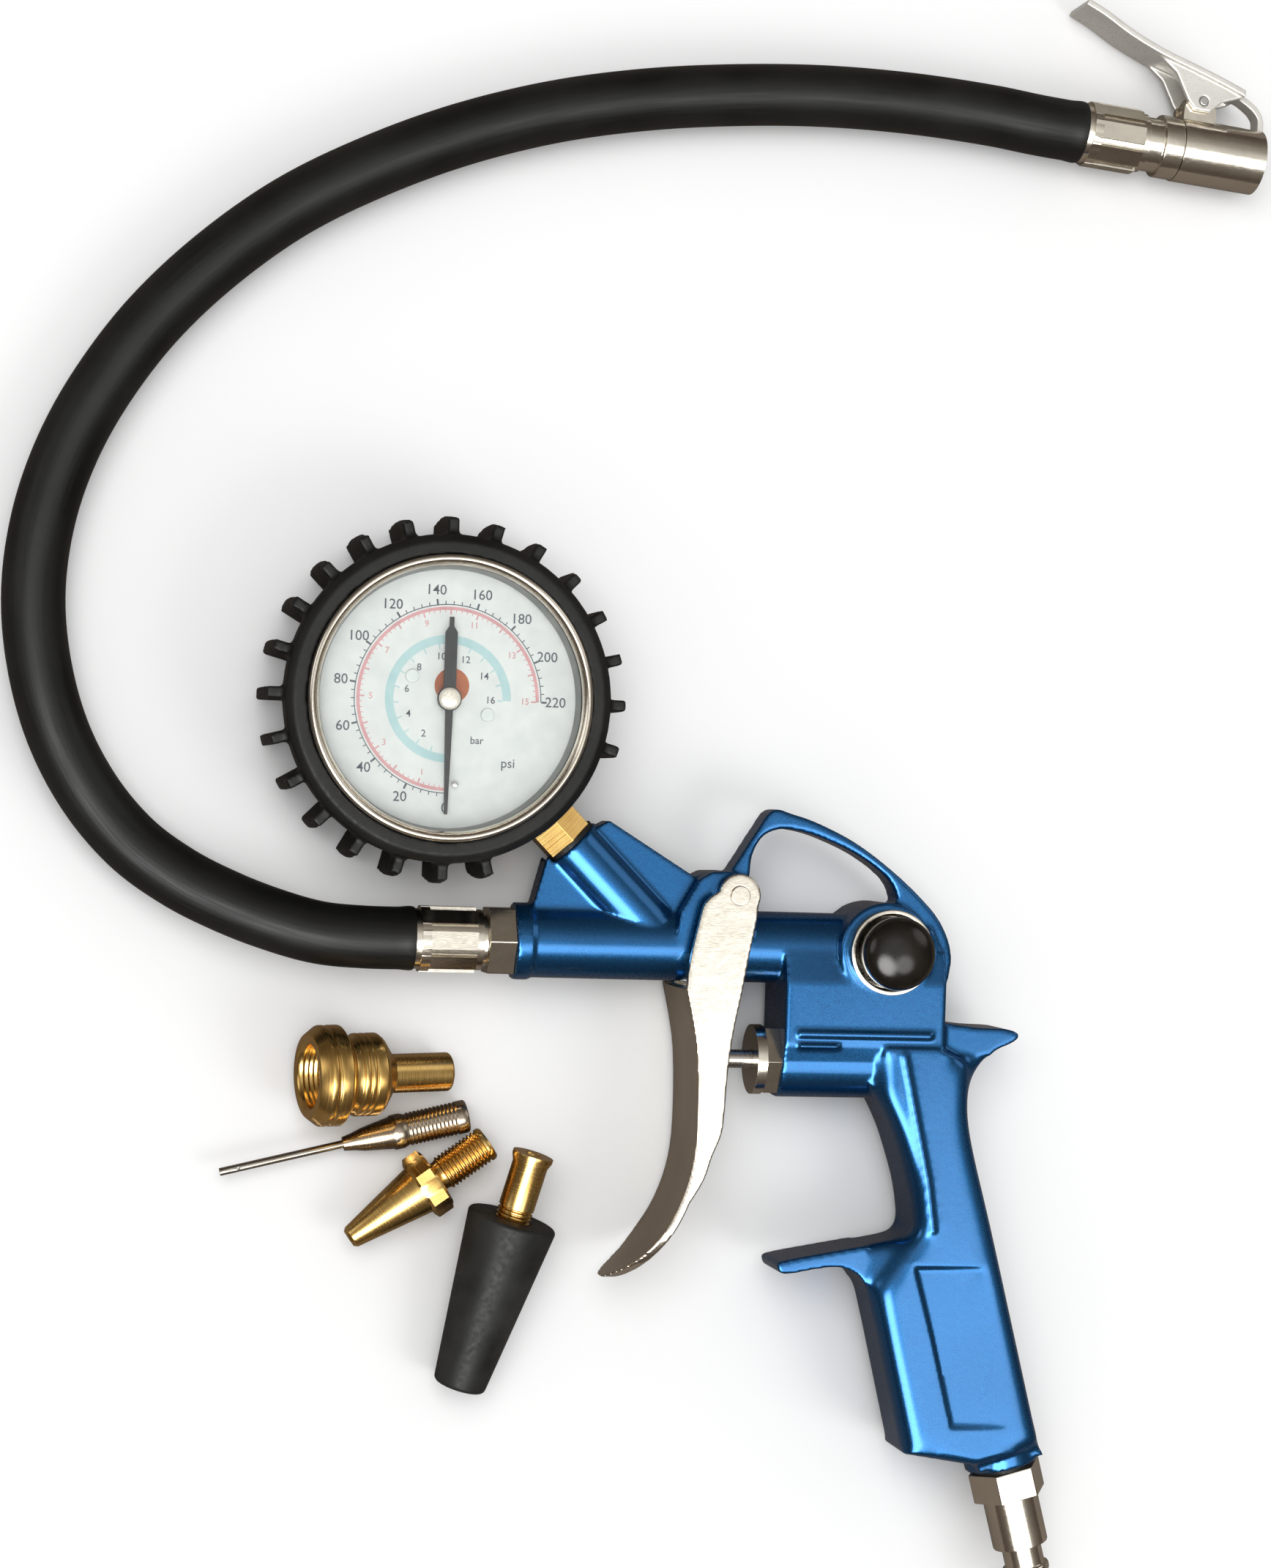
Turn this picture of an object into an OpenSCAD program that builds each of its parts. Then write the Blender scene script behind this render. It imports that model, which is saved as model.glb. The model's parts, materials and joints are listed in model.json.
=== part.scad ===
// Hand-held tyre inflator gun with a dial gauge, a rubber hose with a clip-on chuck, and four loose adapters.
// The gun lies on its side: +Z is up, +X runs along the barrel to the grip, and the gauge axis is the Z axis.

/* [Gun body] */
// Height of the gun's middle plane above the surface it lies on
gun_z = 13; // [12.5:0.1:16]
// Distance from the gauge axis down to the barrel axis
barrel_drop = 51; // [48:0.5:56]
// Outer radius of the barrel
barrel_r = 7.8; // [7:0.1:8.4]
// Front end of the barrel along X
barrel_front_x = 17.5; // [10:0.5:22]
// Radius of the air passage in the barrel
passage_r = 3; // [2:0.1:3.6]
// Depth of the valve block from side to side
block_depth = 18.8; // [17:0.1:19.6]
// Depth of the grip from side to side
grip_depth = 20; // [17:0.5:23]
// Depth of the hanging hook from side to side
hook_depth = 8; // [5:0.5:12]
// Distance from the barrel axis down to the valve chamber axis
valve_drop = 24.5; // [22:0.5:27]
// Outer radius of the valve chamber
chamber_r = 8.1; // [7.8:0.1:8.8]
// Radius of the valve chamber bore
chamber_bore_r = 5.6; // [5.2:0.1:6]
// Grip lean from the vertical, in degrees
grip_lean = 15; // [14:0.5:16]

/* [Trigger] */
// Radius of the trigger pivot pin
trigger_pin_r = 1.5; // [1.2:0.05:2]
// Thickness of the pressed steel of the trigger lever
lever_wall = 1.7; // [1.2:0.1:2]
// Side clearance between a trigger cheek and the body lug
lever_side_gap = 0.25; // [0.15:0.05:0.4]
// Distance between the inner faces of the two trigger cheeks
lever_inner_w = 20.6; // [20.2:0.1:22]
// Radial running clearance of pins, stems and shafts
running_gap = 0.06; // [0.02:0.01:0.1]

/* [Valve] */
// Radius of the valve stem
valve_stem_r = 2; // [1.6:0.1:2.4]
// Rest gap between the valve stem and the trigger web
stem_rest_gap = 0.3; // [0.2:0.05:0.5]
// Across-flats size of the gland nut
gland_flats = 14; // [12:0.5:15]
// Wire diameter of the valve return spring
valve_wire = 0.8; // [0.5:0.1:1]
// Radius of the bleed button
button_r = 7.9; // [7:0.1:8.2]
// Height of the bleed button above its rim's base
button_h = 8.2; // [5.2:0.1:9]
// Travel of the bleed button
button_travel = 3; // [2:0.1:3.2]

/* [Gauge] */
// Outer radius of the rubber boot at its front
boot_r = 34.6; // [33.5:0.1:36]
// Outer radius of the rubber boot at its back
boot_back_r = 31.4; // [31:0.1:33.5]
// Radius to the tips of the boot's fins
boot_fin_r = 39; // [37.5:0.1:41]
// Axial height of the boot
boot_h = 29; // [28:0.5:30]
// Number of fin places round the boot
boot_fin_places = 24; // [16:1:30]
// Radius of the bezel
bezel_r = 30.1; // [29.6:0.1:30.6]
// Radius of the window in the bezel
window_r = 27.7; // [26.5:0.1:28]
// Height of the dial's face above the surface
dial_z = 24.4; // [23.5:0.1:25]
// Length of the needle from its pivot to its tip
needle_len = 24.3; // [20:0.1:26]
// Length of the gauge stem that shows between the boot and the gun
stem_show = 7.4; // [6.5:0.1:9.5]
// Radius of the gauge boss
boss_r = 6.7; // [6.4:0.1:7.4]
// Radius of the gauge stem's thread
stem_thread_r = 4.7; // [4.2:0.1:5]

/* [Hose and chuck] */
// Outer diameter of the rubber hose
hose_d = 13.4; // [11:0.1:14]
// Outer radius of the crimped ferrules
ferrule_r = 7.1; // [6.9:0.1:7.4]
// Length of the crimped ferrules
ferrule_len = 14.6; // [12:0.1:18]
// Height of the chuck axis above the surface
chuck_z = 7.7; // [7.5:0.1:9]
// Outer radius of the chuck body
chuck_r = 7.2; // [6.8:0.1:7.4]
// Length of the chuck body
chuck_len = 19.5; // [18.5:0.5:22]
// Radius of the chuck mouth that takes the tyre valve
mouth_r = 4.1; // [3.9:0.05:4.4]
// Radius of the chuck lever pin
chuck_pin_r = 1; // [0.8:0.05:1.3]

/* [Inlet] */
// Across-flats size of the inlet plug's hexagon
plug_flats = 14.6; // [13:0.1:16]
// Radius of the plug's collar
plug_collar_r = 6.15; // [5.6:0.05:6.6]
// Radius of the plug's nose
plug_nose_r = 3.9; // [3.5:0.05:4.3]

/* [Adapters] */
// Radius of the adapters' valve threads
adapter_thread_r = 3.9; // [3.7:0.05:4.1]
// Radius of the coupling's head
coupling_head_r = 10.8; // [10:0.1:12]
// Radius of the rubber cone's big end
cone_big_r = 9.9; // [9:0.1:11]
// Radius of the rubber cone's small end
cone_small_r = 5.7; // [5:0.1:6.5]
// Outer radius of the ball needle tube
ball_needle_r = 0.85; // [0.8:0.05:1.1]

/* [Hidden] */
$fn = 64;
eps = 0.01;

// Colours
blue = [0.12, 0.33, 0.62];
nickel = [0.80, 0.79, 0.76];
black = [0.09, 0.09, 0.09];
brass = [0.80, 0.62, 0.28];
steel = [0.62, 0.63, 0.65];
white = [0.93, 0.93, 0.90];

// Distance from the gauge axis to the boss that takes the gauge stem
boss_reach = boot_r + stem_show;

// Axes of the gun. Its outlines count from the foot of the gauge stem, where the stem meets the barrel.
foot_x = barrel_drop;
barrel_y = -barrel_drop;
valve_y = barrel_y - valve_drop;
lug_x = foot_x + 13.8;
lug_y = barrel_y + 11.4;
lug_r = 4.2;
button_x = foot_x + 47.9;
button_y = barrel_y;
block_left_x = foot_x + 25.5;
block_right_x = foot_x + 61.7;
chamber_end_x = foot_x + 55;
hose_thread_r = 5;
hose_thread_len = 9;
stem_thread_len = 7;
inlet_x = foot_x + 81.2;
inlet_y = barrel_y - 113;
inlet_boss_r = 8.5;
inlet_thread_r = 5.6;
inlet_thread_len = 12;

// Smooth curve through hand-chosen points, as a Catmull-Rom spline with `steps` stretches for each span.
function curve_point(a, b, c, d, t) =
    0.5 * (2 * b + (c - a) * t + (2 * a - 5 * b + 4 * c - d) * t * t + (3 * b - a - 3 * c + d) * t * t * t);
function curve(points, steps) = let (last = len(points) - 1) concat(
    [for (i = [0 : last - 1]) for (k = [0 : steps - 1])
        curve_point(points[max(i - 1, 0)], points[i], points[i + 1], points[min(i + 2, last)], k / steps)],
    [points[last]]);
function flip(points) = [for (i = [len(points) - 1 : -1 : 0]) points[i]];
// Point of the grip, `s` above the inlet face and `q` to its side.
function lean(s, q) = [inlet_x - foot_x - s * sin(grip_lean) + q * cos(grip_lean),
    inlet_y - barrel_y + s * cos(grip_lean) + q * sin(grip_lean)];

module side_plate(z, depth) translate([foot_x, barrel_y, z]) linear_extrude(depth) children();
module side_slab(depth) side_plate(gun_z - depth / 2, depth) children();
module along_barrel(x, y) translate([x, y, gun_z]) rotate([0, 90, 0]) children();
module along_stem(s) rotate([0, 0, -45]) translate([s, 0, gun_z]) rotate([0, 90, 0]) children();
module along_inlet(s) translate([inlet_x, inlet_y, gun_z]) rotate([0, 0, grip_lean]) rotate([90, 0, 0])
    translate([0, 0, s]) children();
module hexagon(flats, h) cylinder(r = flats / sqrt(3), h = h, $fn = 6);
module tube(outer, inner, h) difference() {
    cylinder(r = outer, h = h);
    translate([0, 0, -1]) cylinder(r = inner, h = h + 2);
}
module ring(middle_r, wire_r) rotate_extrude() translate([middle_r, 0]) circle(r = wire_r, $fn = 24);

// ---- Body casting ----
hook_outer = curve([[12.4, 14.5], [15.6, 19.6], [19.2, 25.4], [22.6, 30], [27.2, 29.2], [33, 27.4],
    [41.4, 23.5], [49.4, 18.1], [56.4, 12.2], [61.4, 6.7], [64.1, 0.4], [63.8, -5.6], [61.7, -12]], 4);
hook_inner = curve([[17.8, 14.5], [18.3, 20], [20.5, 24.1], [24, 25.8], [28, 25.7], [33.4, 24.4],
    [41.4, 21.1], [48, 16.8], [50.9, 13], [51.4, 8.5], [50, 5]], 4);
rear_curve = curve([[61.7, -15.3], [69.4, -16.2], [76.7, -16.5], [79.4, -17.7], [77.9, -19.4], [73.8, -21.4],
    [70.3, -25.4], [68.4, -30], [68.2, -35], [69.7, -43], [74.5, -60.2], [81.5, -86.6], [86, -104]], 3);
front_curve = curve([[45.4, -29], [48.4, -33.6], [51.6, -40], [54.8, -49.5], [56.6, -57], [56.3, -61.4],
    [52, -63.1]], 3);
spur_curve = curve([[52, -63.1], [45, -64.4], [37, -65.8], [27, -67.7], [26.2, -69], [27.8, -70.5],
    [35, -69.3], [40.4, -69], [44.6, -70.9], [47.2, -75]], 3);
web_depth = 7.4;
grip_edge_r = 2.6;
panel_depth = 0.7;

module hook() side_slab(hook_depth) polygon(concat(hook_outer, [[50, -13]], flip(hook_inner)));

module web() side_slab(web_depth) polygon([[-27, 18.7], [-13.7, 26.6], [5.6, 15], [8.7, 16.4], [10, 0], [-29.6, 0],
    [-29.6, 8.4]]);

module pillar() side_slab(2 * barrel_r) polygon([[1.8, 7.4], [6, 14.8], [8.7, 16.3], [13, 16.4], [18, 14.4],
    [18, 0], [1, 0]]);

module block() translate([block_left_x, 0, gun_z]) rotate([90, 0, 90])
    linear_extrude(block_right_x - block_left_x) polygon([
        [barrel_y, barrel_r], [barrel_y - 4, block_depth / 2 - 0.7], [barrel_y - 7, block_depth / 2],
        [valve_y + 4, block_depth / 2], [valve_y, chamber_r], [valve_y, -chamber_r],
        [valve_y + 4, -block_depth / 2], [barrel_y - 7, -block_depth / 2],
        [barrel_y - 4, -block_depth / 2 + 0.7], [barrel_y, -barrel_r]]);

module grip_outline() polygon(concat([[45.4, -19], [61.7, -19]], rear_curve,
    [lean(4, 7.3), lean(1, 7.4), lean(1, -7.4), lean(3, -8.3), [56, -109.6], [49.8, -84.6]],
    [[47.2, -75]], flip(spur_curve), flip(front_curve)));

// The grip's long edges are rounded by layers that draw in towards each side.
module grip() {
    side_slab(grip_depth - 2 * grip_edge_r) grip_outline();
    for (turn = [22.5 : 22.5 : 90])
        grip_layer(grip_depth - 2 * grip_edge_r * (1 - sin(turn)), 0.7 * grip_edge_r * (1 - cos(turn)));
}

module grip_layer(depth, inset) side_slab(depth) polygon(concat(
    [[47 + inset, -21], [61.7 - inset, -21]],
    curve([[67.6 - inset, -23.6], [67.9 - inset, -29.4], [68 - inset, -35], [69.5 - inset, -43],
        [74.3 - inset, -60.2], [81.3 - inset, -86.6], [86 - inset, -104]], 3),
    [lean(4 + inset, 7.2 - inset), lean(3 + inset, 0), lean(3 + inset, -8.3), [56.2 + 1.6 * inset, -109.6 + inset],
        [50 + 1.6 * inset, -84.6], [47.4 + 1.6 * inset, -73], [53 + 1.6 * inset, -65],
        [56.9 + inset, -61], [55.4 + inset, -50.5], [51.6 + inset, -39.5], [47.4 + inset, -31]]));

// Panel of the lower grip, let into each side. Its floor rises towards the back of the grip.
module grip_panel(side) translate([foot_x + 56.2, barrel_y, gun_z + side * grip_depth / 2])
    rotate([0, -1.6 * side, 0]) translate([0, 0, -panel_depth]) linear_extrude(2 * panel_depth)
        polygon([[0, -68.4], [4.2, -83], [9.6, -103.6], [25.4, -103.6], [21.6, -88], [16.2, -68.4]]);

module ridge(from, to, w) {
    span = norm(to - from);
    translate(from) rotate(atan2(to[1] - from[1], to[0] - from[0])) translate([0, -w / 2]) square([span, w]);
}

module body_bores() {
    along_barrel(barrel_front_x - 1, barrel_y) cylinder(r = hose_thread_r, h = hose_thread_len + 1);
    along_barrel(barrel_front_x, barrel_y) cylinder(r = passage_r, h = button_x - barrel_front_x);
    along_stem(boss_reach - 1) cylinder(r = stem_thread_r, h = stem_thread_len + 1);
    along_stem(boss_reach) cylinder(r = 2, h = barrel_drop * sqrt(2) - boss_reach);
    along_barrel(block_left_x - 1, valve_y) cylinder(r = chamber_bore_r, h = chamber_end_x - block_left_x + 1);
    translate([stem_step_x, valve_y, gun_z]) rotate([-90, 0, 0]) cylinder(r = 1.8, h = valve_drop);
    translate([lug_x, lug_y, 0]) cylinder(r = trigger_pin_r, h = 2 * gun_z);
    translate([button_x, button_y, bleed_floor_z]) cylinder(r = bleed_bore_r, h = 40);
    along_inlet(-inlet_thread_len) cylinder(r = inlet_thread_r, h = inlet_thread_len + 5);
    translate([inlet_x, inlet_y, gun_z]) rotate([0, 0, grip_lean]) rotate([-90, 0, 0])
        cylinder(r = 3.4, h = (valve_y - inlet_y) / cos(grip_lean) - 2);
}

module body_casting() color(blue) difference() {
    union() {
        along_barrel(barrel_front_x, barrel_y) cylinder(r = barrel_r, h = foot_x + 43 - barrel_front_x);
        along_barrel(barrel_front_x, barrel_y) cylinder(r = barrel_r + 0.5, h = 3.5);
        along_stem(boss_reach) cylinder(r = boss_r, h = barrel_drop * sqrt(2) - boss_reach);
        web();
        pillar();
        translate([lug_x, lug_y, gun_z - lug_depth / 2]) cylinder(r = lug_r, h = lug_depth);
        hook();
        block();
        along_barrel(block_left_x, valve_y) cylinder(r = chamber_r, h = 30);
        translate([button_x, button_y, gun_z - block_depth / 2]) cylinder(r = bleed_boss_r, h = block_depth);
        side_slab(block_depth - 4) polygon([[50, 7], [59, 5], [61.7, -1], [61.7, -15], [50, -15]]);
        grip();
        along_inlet(-14) cylinder(r = inlet_boss_r, h = 14);
        side_slab(block_depth + 1.2) {
            ridge([28.5, -18.2], [58.5, -18.2], 1);
            ridge([28.8, -20.9], [37.5, -20.9], 0.8);
        }
        side_slab(grip_depth + 0.8) {
            ridge([52.2, -22], [58.6, -50], 1);
            ridge([58.6, -50], [60.2, -61], 1);
        }
    }
    body_bores();
    along_stem(0) cylinder(r = boss_r + 0.3, h = boss_reach);
    for (side = [-1, 1]) grip_panel(side);
}

// ---- Trigger ----
lug_depth = lever_inner_w - 2 * lever_side_gap;
lever_outer_w = lever_inner_w + 2 * lever_wall;
web_outer = curve([[2.7, -9], [4.2, -15.5], [5.4, -22.5], [5.9, -32], [5.8, -42], [4.7, -49.4],
    [2.3, -56.2], [-1, -61.8], [-6, -67.5], [-12.4, -72]], 3);
web_inner = [for (i = [0 : len(web_outer) - 1]) let (
    a = web_outer[max(i - 1, 0)], b = web_outer[min(i + 1, len(web_outer) - 1)], run = (b - a) / norm(b - a))
    web_outer[i] + 1.9 * [-run[1], run[0]]];
cheek_right = curve([[18.1, 11], [17.7, 6], [16.4, -1], [15, -9.5], [13.4, -18], [12.5, -26], [12.1, -33],
    [11.6, -39.4], [9.6, -44.6], [8, -49.6], [5.2, -54.4]], 3);
cheek_left = curve([[9.3, 12.2], [6.3, 9.8], [4.9, 4.8], [3.3, -3], [2.7, -9]], 3);
web_contact_x = foot_x + 5.5 + 1.9;

module cheek_profile() {
    polygon(concat(cheek_left, [for (p = web_outer) if (p[1] > -54.4) p], flip(cheek_right)));
    translate([lug_x - foot_x, lug_y - barrel_y]) circle(r = 4.6);
}

module trigger_lever() color(nickel) difference() {
    intersection() {
        union() {
            side_slab(lever_outer_w) polygon(concat(web_outer, flip(web_inner)));
            for (side = [-1, 1])
                side_plate(gun_z + side * (lever_inner_w + lever_wall) / 2 - lever_wall / 2, lever_wall)
                    cheek_profile();
        }
        translate([foot_x - 21, barrel_y, gun_z]) rotate([90, 0, 90]) linear_extrude(50) {
            translate([-60, -lever_outer_w / 2]) square([90, lever_outer_w]);
            translate([-60, 0]) circle(r = lever_outer_w / 2);
        }
    }
    translate([lug_x, lug_y, -1]) cylinder(r = trigger_pin_r + running_gap, h = 30);
}

module trigger_pin() color(nickel) translate([lug_x, lug_y, 0]) {
    pin_end = gun_z + lever_outer_w / 2;
    translate([0, 0, gun_z - lever_outer_w / 2 - 0.3]) cylinder(r = trigger_pin_r, h = lever_outer_w + 0.6);
    translate([0, 0, pin_end + 0.15]) cylinder(r = trigger_pin_r + 0.6, h = 0.5);
}

// ---- Valve ----
seat_x = foot_x + 40;
stem_step_x = foot_x + 33;
gland_front_x = foot_x + 20.2;

module gland_nut() color(nickel) difference() {
    union() {
        along_barrel(gland_front_x, valve_y) cylinder(r = gland_flats / 2 + 0.6, h = 2.2);
        along_barrel(gland_front_x + 2.2, valve_y) hexagon(gland_flats, block_left_x - gland_front_x - 2.2);
        along_barrel(block_left_x - eps, valve_y) cylinder(r = chamber_bore_r, h = 5.5);
    }
    along_barrel(gland_front_x - 1, valve_y) cylinder(r = valve_stem_r + running_gap, h = 20);
    along_barrel(block_left_x + 2.5, valve_y) cylinder(r = valve_stem_r + 1.5, h = 10);
}

module stem_seal() color(black) along_barrel(block_left_x + 3.3, valve_y)
    ring(valve_stem_r + 0.8, 0.7);

module valve_stem() color(steel) {
    tip_x = web_contact_x + stem_rest_gap;
    along_barrel(tip_x, valve_y) cylinder(r = valve_stem_r, h = stem_step_x - tip_x);
    along_barrel(stem_step_x, valve_y) cylinder(r = 1.1, h = seat_x + 5.2 - stem_step_x);
}

module valve_seat() color(brass) along_barrel(seat_x - 3, valve_y) difference() {
    cylinder(r = chamber_bore_r, h = 3);
    translate([0, 0, -1]) cylinder(r = 2.6, h = 5);
}

module valve_poppet() color(black) along_barrel(seat_x + 0.02, valve_y) difference() {
    cylinder(r = 4.3, h = 3);
    translate([0, 0, -1]) cylinder(r = 1.1, h = 5);
}

module valve_spring() color(steel) along_barrel(seat_x + 3.2, valve_y)
    tube(3.6, 3.6 - valve_wire, chamber_end_x - seat_x - 3.3);

// ---- Bleed button ----
bleed_floor_z = gun_z - 4;
bleed_bore_r = 4.8;
bleed_boss_r = 10.6;
collar_base_z = gun_z + block_depth / 2;
collar_r = button_r + 1.4;
collar_top_z = collar_base_z + button_travel + 1.1;
button_base_z = collar_top_z + 0.3;
bleed_stem_r = 1.5;

module bleed_collar() color(nickel) translate([button_x, button_y, 0]) difference() {
    union() {
        translate([0, 0, collar_base_z]) cylinder(r = collar_r, h = collar_top_z - collar_base_z);
        translate([0, 0, gun_z + 2]) cylinder(r = bleed_bore_r, h = collar_base_z - gun_z - 2 + eps);
    }
    translate([0, 0, collar_top_z - button_travel]) cylinder(r = button_r + 0.3, h = 10);
    cylinder(r = bleed_stem_r + running_gap, h = 50);
    translate([0, 0, gun_z + 1]) cylinder(r = 2.6, h = 5);
}

module bleed_button() color(black) translate([button_x, button_y, 0]) {
    difference() {
        translate([0, 0, button_base_z]) rotate_extrude() polygon([[0, 0], [button_r, 0], [button_r, button_h - 2.8],
            [button_r - 0.5, button_h - 1.9], [button_r - 1.9, button_h - 1], [button_r - 4.2, button_h - 0.3],
            [0, button_h]]);
        translate([0, 0, button_base_z - 1]) cylinder(r = 5.2, h = 3.4);
    }
    translate([0, 0, gun_z + 1.4]) cylinder(r = bleed_stem_r, h = button_base_z + 3 - gun_z - 1.4);
}

module bleed_poppet() color(black) translate([button_x, button_y, gun_z + 1.95 - 1.9]) difference() {
    cylinder(r = 3.6, h = 1.9);
    translate([0, 0, 1.35]) cylinder(r = bleed_stem_r, h = 2);
}

module bleed_spring() color(steel) translate([button_x, button_y, collar_top_z - button_travel + 0.02])
    tube(4.6, 3.8, button_base_z + 2.3 - collar_top_z + button_travel);

// ---- Inlet ----
module inlet_plug() color(nickel) along_inlet(0) difference() {
    union() {
        translate([0, 0, 0.9]) hexagon(plug_flats, 6.6);
        translate([0, 0, 7.4]) cylinder(r = plug_collar_r, h = 11.4);
        translate([0, 0, 18.7]) cylinder(r = plug_nose_r + 0.5, h = 5);
        translate([0, 0, 23.6]) rotate_extrude() polygon([[0, 0], [plug_nose_r + 1.3, 0], [plug_nose_r + 1.3, 1.4],
            [plug_nose_r, 3.2], [0, 3.2]]);
        translate([0, 0, 26.7]) cylinder(r = plug_nose_r, h = 8);
        translate([0, 0, 1 - inlet_thread_len]) cylinder(r = inlet_thread_r, h = inlet_thread_len);
    }
    translate([0, 0, -20]) cylinder(r = 2.5, h = 70);
}

module inlet_seal() color(black) along_inlet(0) tube(inlet_thread_r + 1.4, inlet_thread_r, 0.9);

// ---- Hose ----
ferrule_x = -4;
hose_r = hose_d / 2;
hose_bore_r = 4.2;
chuck_x = 142;
chuck_y = 133.8;
chuck_turn = -5;
// Route of the hose's centre line, from the gun's ferrule round the gauge to the chuck's ferrule.
hose_route = [
    [-4, -51, 13], [-14, -51, 13], [-24, -50.3, 12.6], [-34, -47.8, 11.4], [-44, -44.2, 9.8], [-54, -39.4, 8.2],
    [-64, -32.4, 7.1], [-73, -22.2, 6.8], [-80, -9.6, 6.8], [-84.4, 5, 6.8], [-86, 20, 6.8], [-84.4, 35.4, 6.8],
    [-80, 50, 6.8], [-73, 64, 6.8], [-63, 78.4, 6.8], [-50, 92, 6.8], [-34.5, 104.4, 6.8], [-17, 114.4, 6.8],
    [2, 122.8, 6.8], [22, 129.2, 6.8], [42, 133.4, 6.8], [62, 136, 6.8], [82, 137.4, 6.8], [102, 137.4, 6.8],
    [120, 136.2, 7.2], [132, 134.7, 7.7], [142, 133.8, 7.7]
];

function hose_line() = curve(hose_route, 2);
function hose_dir(line, i) = let (a = line[max(i - 1, 0)], b = line[min(i + 1, len(line) - 1)]) (b - a) / norm(b - a);
function hose_ring(centre, dir, r, sides) = let (
    side = cross([0, 0, 1], dir) / norm(cross([0, 0, 1], dir)), up = cross(dir, side))
    [for (k = [0 : sides - 1]) centre + r * (cos(360 * (k + 0.5) / sides) * side + sin(360 * (k + 0.5) / sides) * up)];

module swept_tube(line, r, sides, first_dir, last_dir) {
    rings = [for (i = [0 : len(line) - 1]) for (p = hose_ring(line[i],
        i == 0 ? first_dir : i == len(line) - 1 ? last_dir : hose_dir(line, i), r, sides)) p];
    count = len(line);
    polyhedron(points = rings, faces = concat(
        [[for (k = [0 : sides - 1]) k]],
        [for (i = [0 : count - 2]) for (k = [0 : sides - 1]) let (a = i * sides + k, b = i * sides + (k + 1) % sides)
            each [[a, a + sides, b], [b, a + sides, b + sides]]],
        [[for (k = [sides - 1 : -1 : 0]) (count - 1) * sides + k]]));
}

module hose() color(black) swept_tube(hose_line(), hose_r / cos(180 / 12), 12, [-1, 0, 0],
    [cos(chuck_turn), sin(chuck_turn), 0]);

module crimped_ferrule() difference() {
    union() {
        tube(ferrule_r - 0.6, hose_bore_r + 0.4, ferrule_len);
        translate([0, 0, 1.2]) cylinder(r = ferrule_r, h = 2);
        for (turn = [0 : 45 : 315]) rotate(turn) translate([ferrule_r - 1.3, -1.9, 1.2]) cube([1.2, 3.8, ferrule_len - 2.6]);
    }
    translate([0, 0, -1]) cylinder(r = hose_bore_r + 0.4, h = ferrule_len + 2);
}

module hose_ferrule() color(nickel) along_barrel(ferrule_x, barrel_y) crimped_ferrule();

module hose_fitting() color(nickel) difference() {
    union() {
        along_barrel(ferrule_x, barrel_y) cylinder(r = hose_bore_r + 0.4, h = ferrule_len);
        along_barrel(ferrule_x + ferrule_len, barrel_y) cylinder(r = 5.6, h = 1);
        along_barrel(ferrule_x + ferrule_len + 1, barrel_y)
            hexagon(14, barrel_front_x - ferrule_x - ferrule_len - 1);
        along_barrel(barrel_front_x - eps, barrel_y) cylinder(r = hose_thread_r, h = hose_thread_len);
    }
    along_barrel(ferrule_x - 1, barrel_y) cylinder(r = 2.4, h = 60);
}

// ---- Chuck ----
chuck_body_u = ferrule_len + 8.2;
chuck_pin_u = 26.6;
chuck_pin_v = 10.6;
chuck_lug_w = 7;
chuck_lever_wall = 1.3;
chuck_mouth_u = chuck_body_u + chuck_len;
mouth_len = 8;
seal_r = mouth_r - 0.3;
claw_w = 4.4;

module at_chuck() translate([chuck_x, chuck_y, chuck_z]) rotate([0, 0, chuck_turn]) children();
module along_chuck(u) at_chuck() translate([u, 0, 0]) rotate([0, 90, 0]) children();
module chuck_slab(w) at_chuck() translate([0, 0, -w / 2]) linear_extrude(w) children();

module chuck_ferrule() color(nickel) along_chuck(0) crimped_ferrule();

module chuck_stem() color(nickel) difference() {
    union() {
        along_chuck(0) cylinder(r = hose_bore_r + 0.4, h = ferrule_len);
        along_chuck(ferrule_len) cylinder(r = 6, h = 3.6);
        along_chuck(ferrule_len + 3.6) cylinder(r = 7, h = 4.6);
        along_chuck(chuck_body_u - eps) cylinder(r = 5, h = 5);
    }
    along_chuck(-1) cylinder(r = 2.4, h = 60);
}

module chuck_body() color(nickel) difference() {
    union() {
        along_chuck(chuck_body_u) cylinder(r = chuck_r, h = chuck_len);
        chuck_slab(chuck_lug_w) polygon([[22.8, 5], [22.8, 9.2], [24.4, 12], [26.6, 13], [28.8, 12], [30.4, 9.2],
            [30.4, 5]]);
    }
    along_chuck(chuck_body_u - 1) cylinder(r = 5, h = 6);
    along_chuck(chuck_body_u + 4) cylinder(r = 3, h = chuck_len);
    along_chuck(chuck_mouth_u - 11) cylinder(r = seal_r, h = 4);
    along_chuck(chuck_mouth_u - mouth_len) cylinder(r = mouth_r, h = mouth_len + 1);
    at_chuck() translate([chuck_pin_u, chuck_pin_v, -10]) cylinder(r = chuck_pin_r, h = 20);
    chuck_slab(chuck_lug_w - 3.4) polygon([[20, 7.7], [33, 7.7], [33, 15], [20, 15]]);
    chuck_slab(claw_w + 0.6) polygon([[chuck_mouth_u - 4.6, 2], [chuck_mouth_u + 1, 2], [chuck_mouth_u + 1, 10],
        [chuck_mouth_u - 4.6, 10]]);
}

module chuck_seal() color(black) along_chuck(chuck_mouth_u - 11) tube(seal_r, 2.1, 11 - mouth_len);

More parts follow.
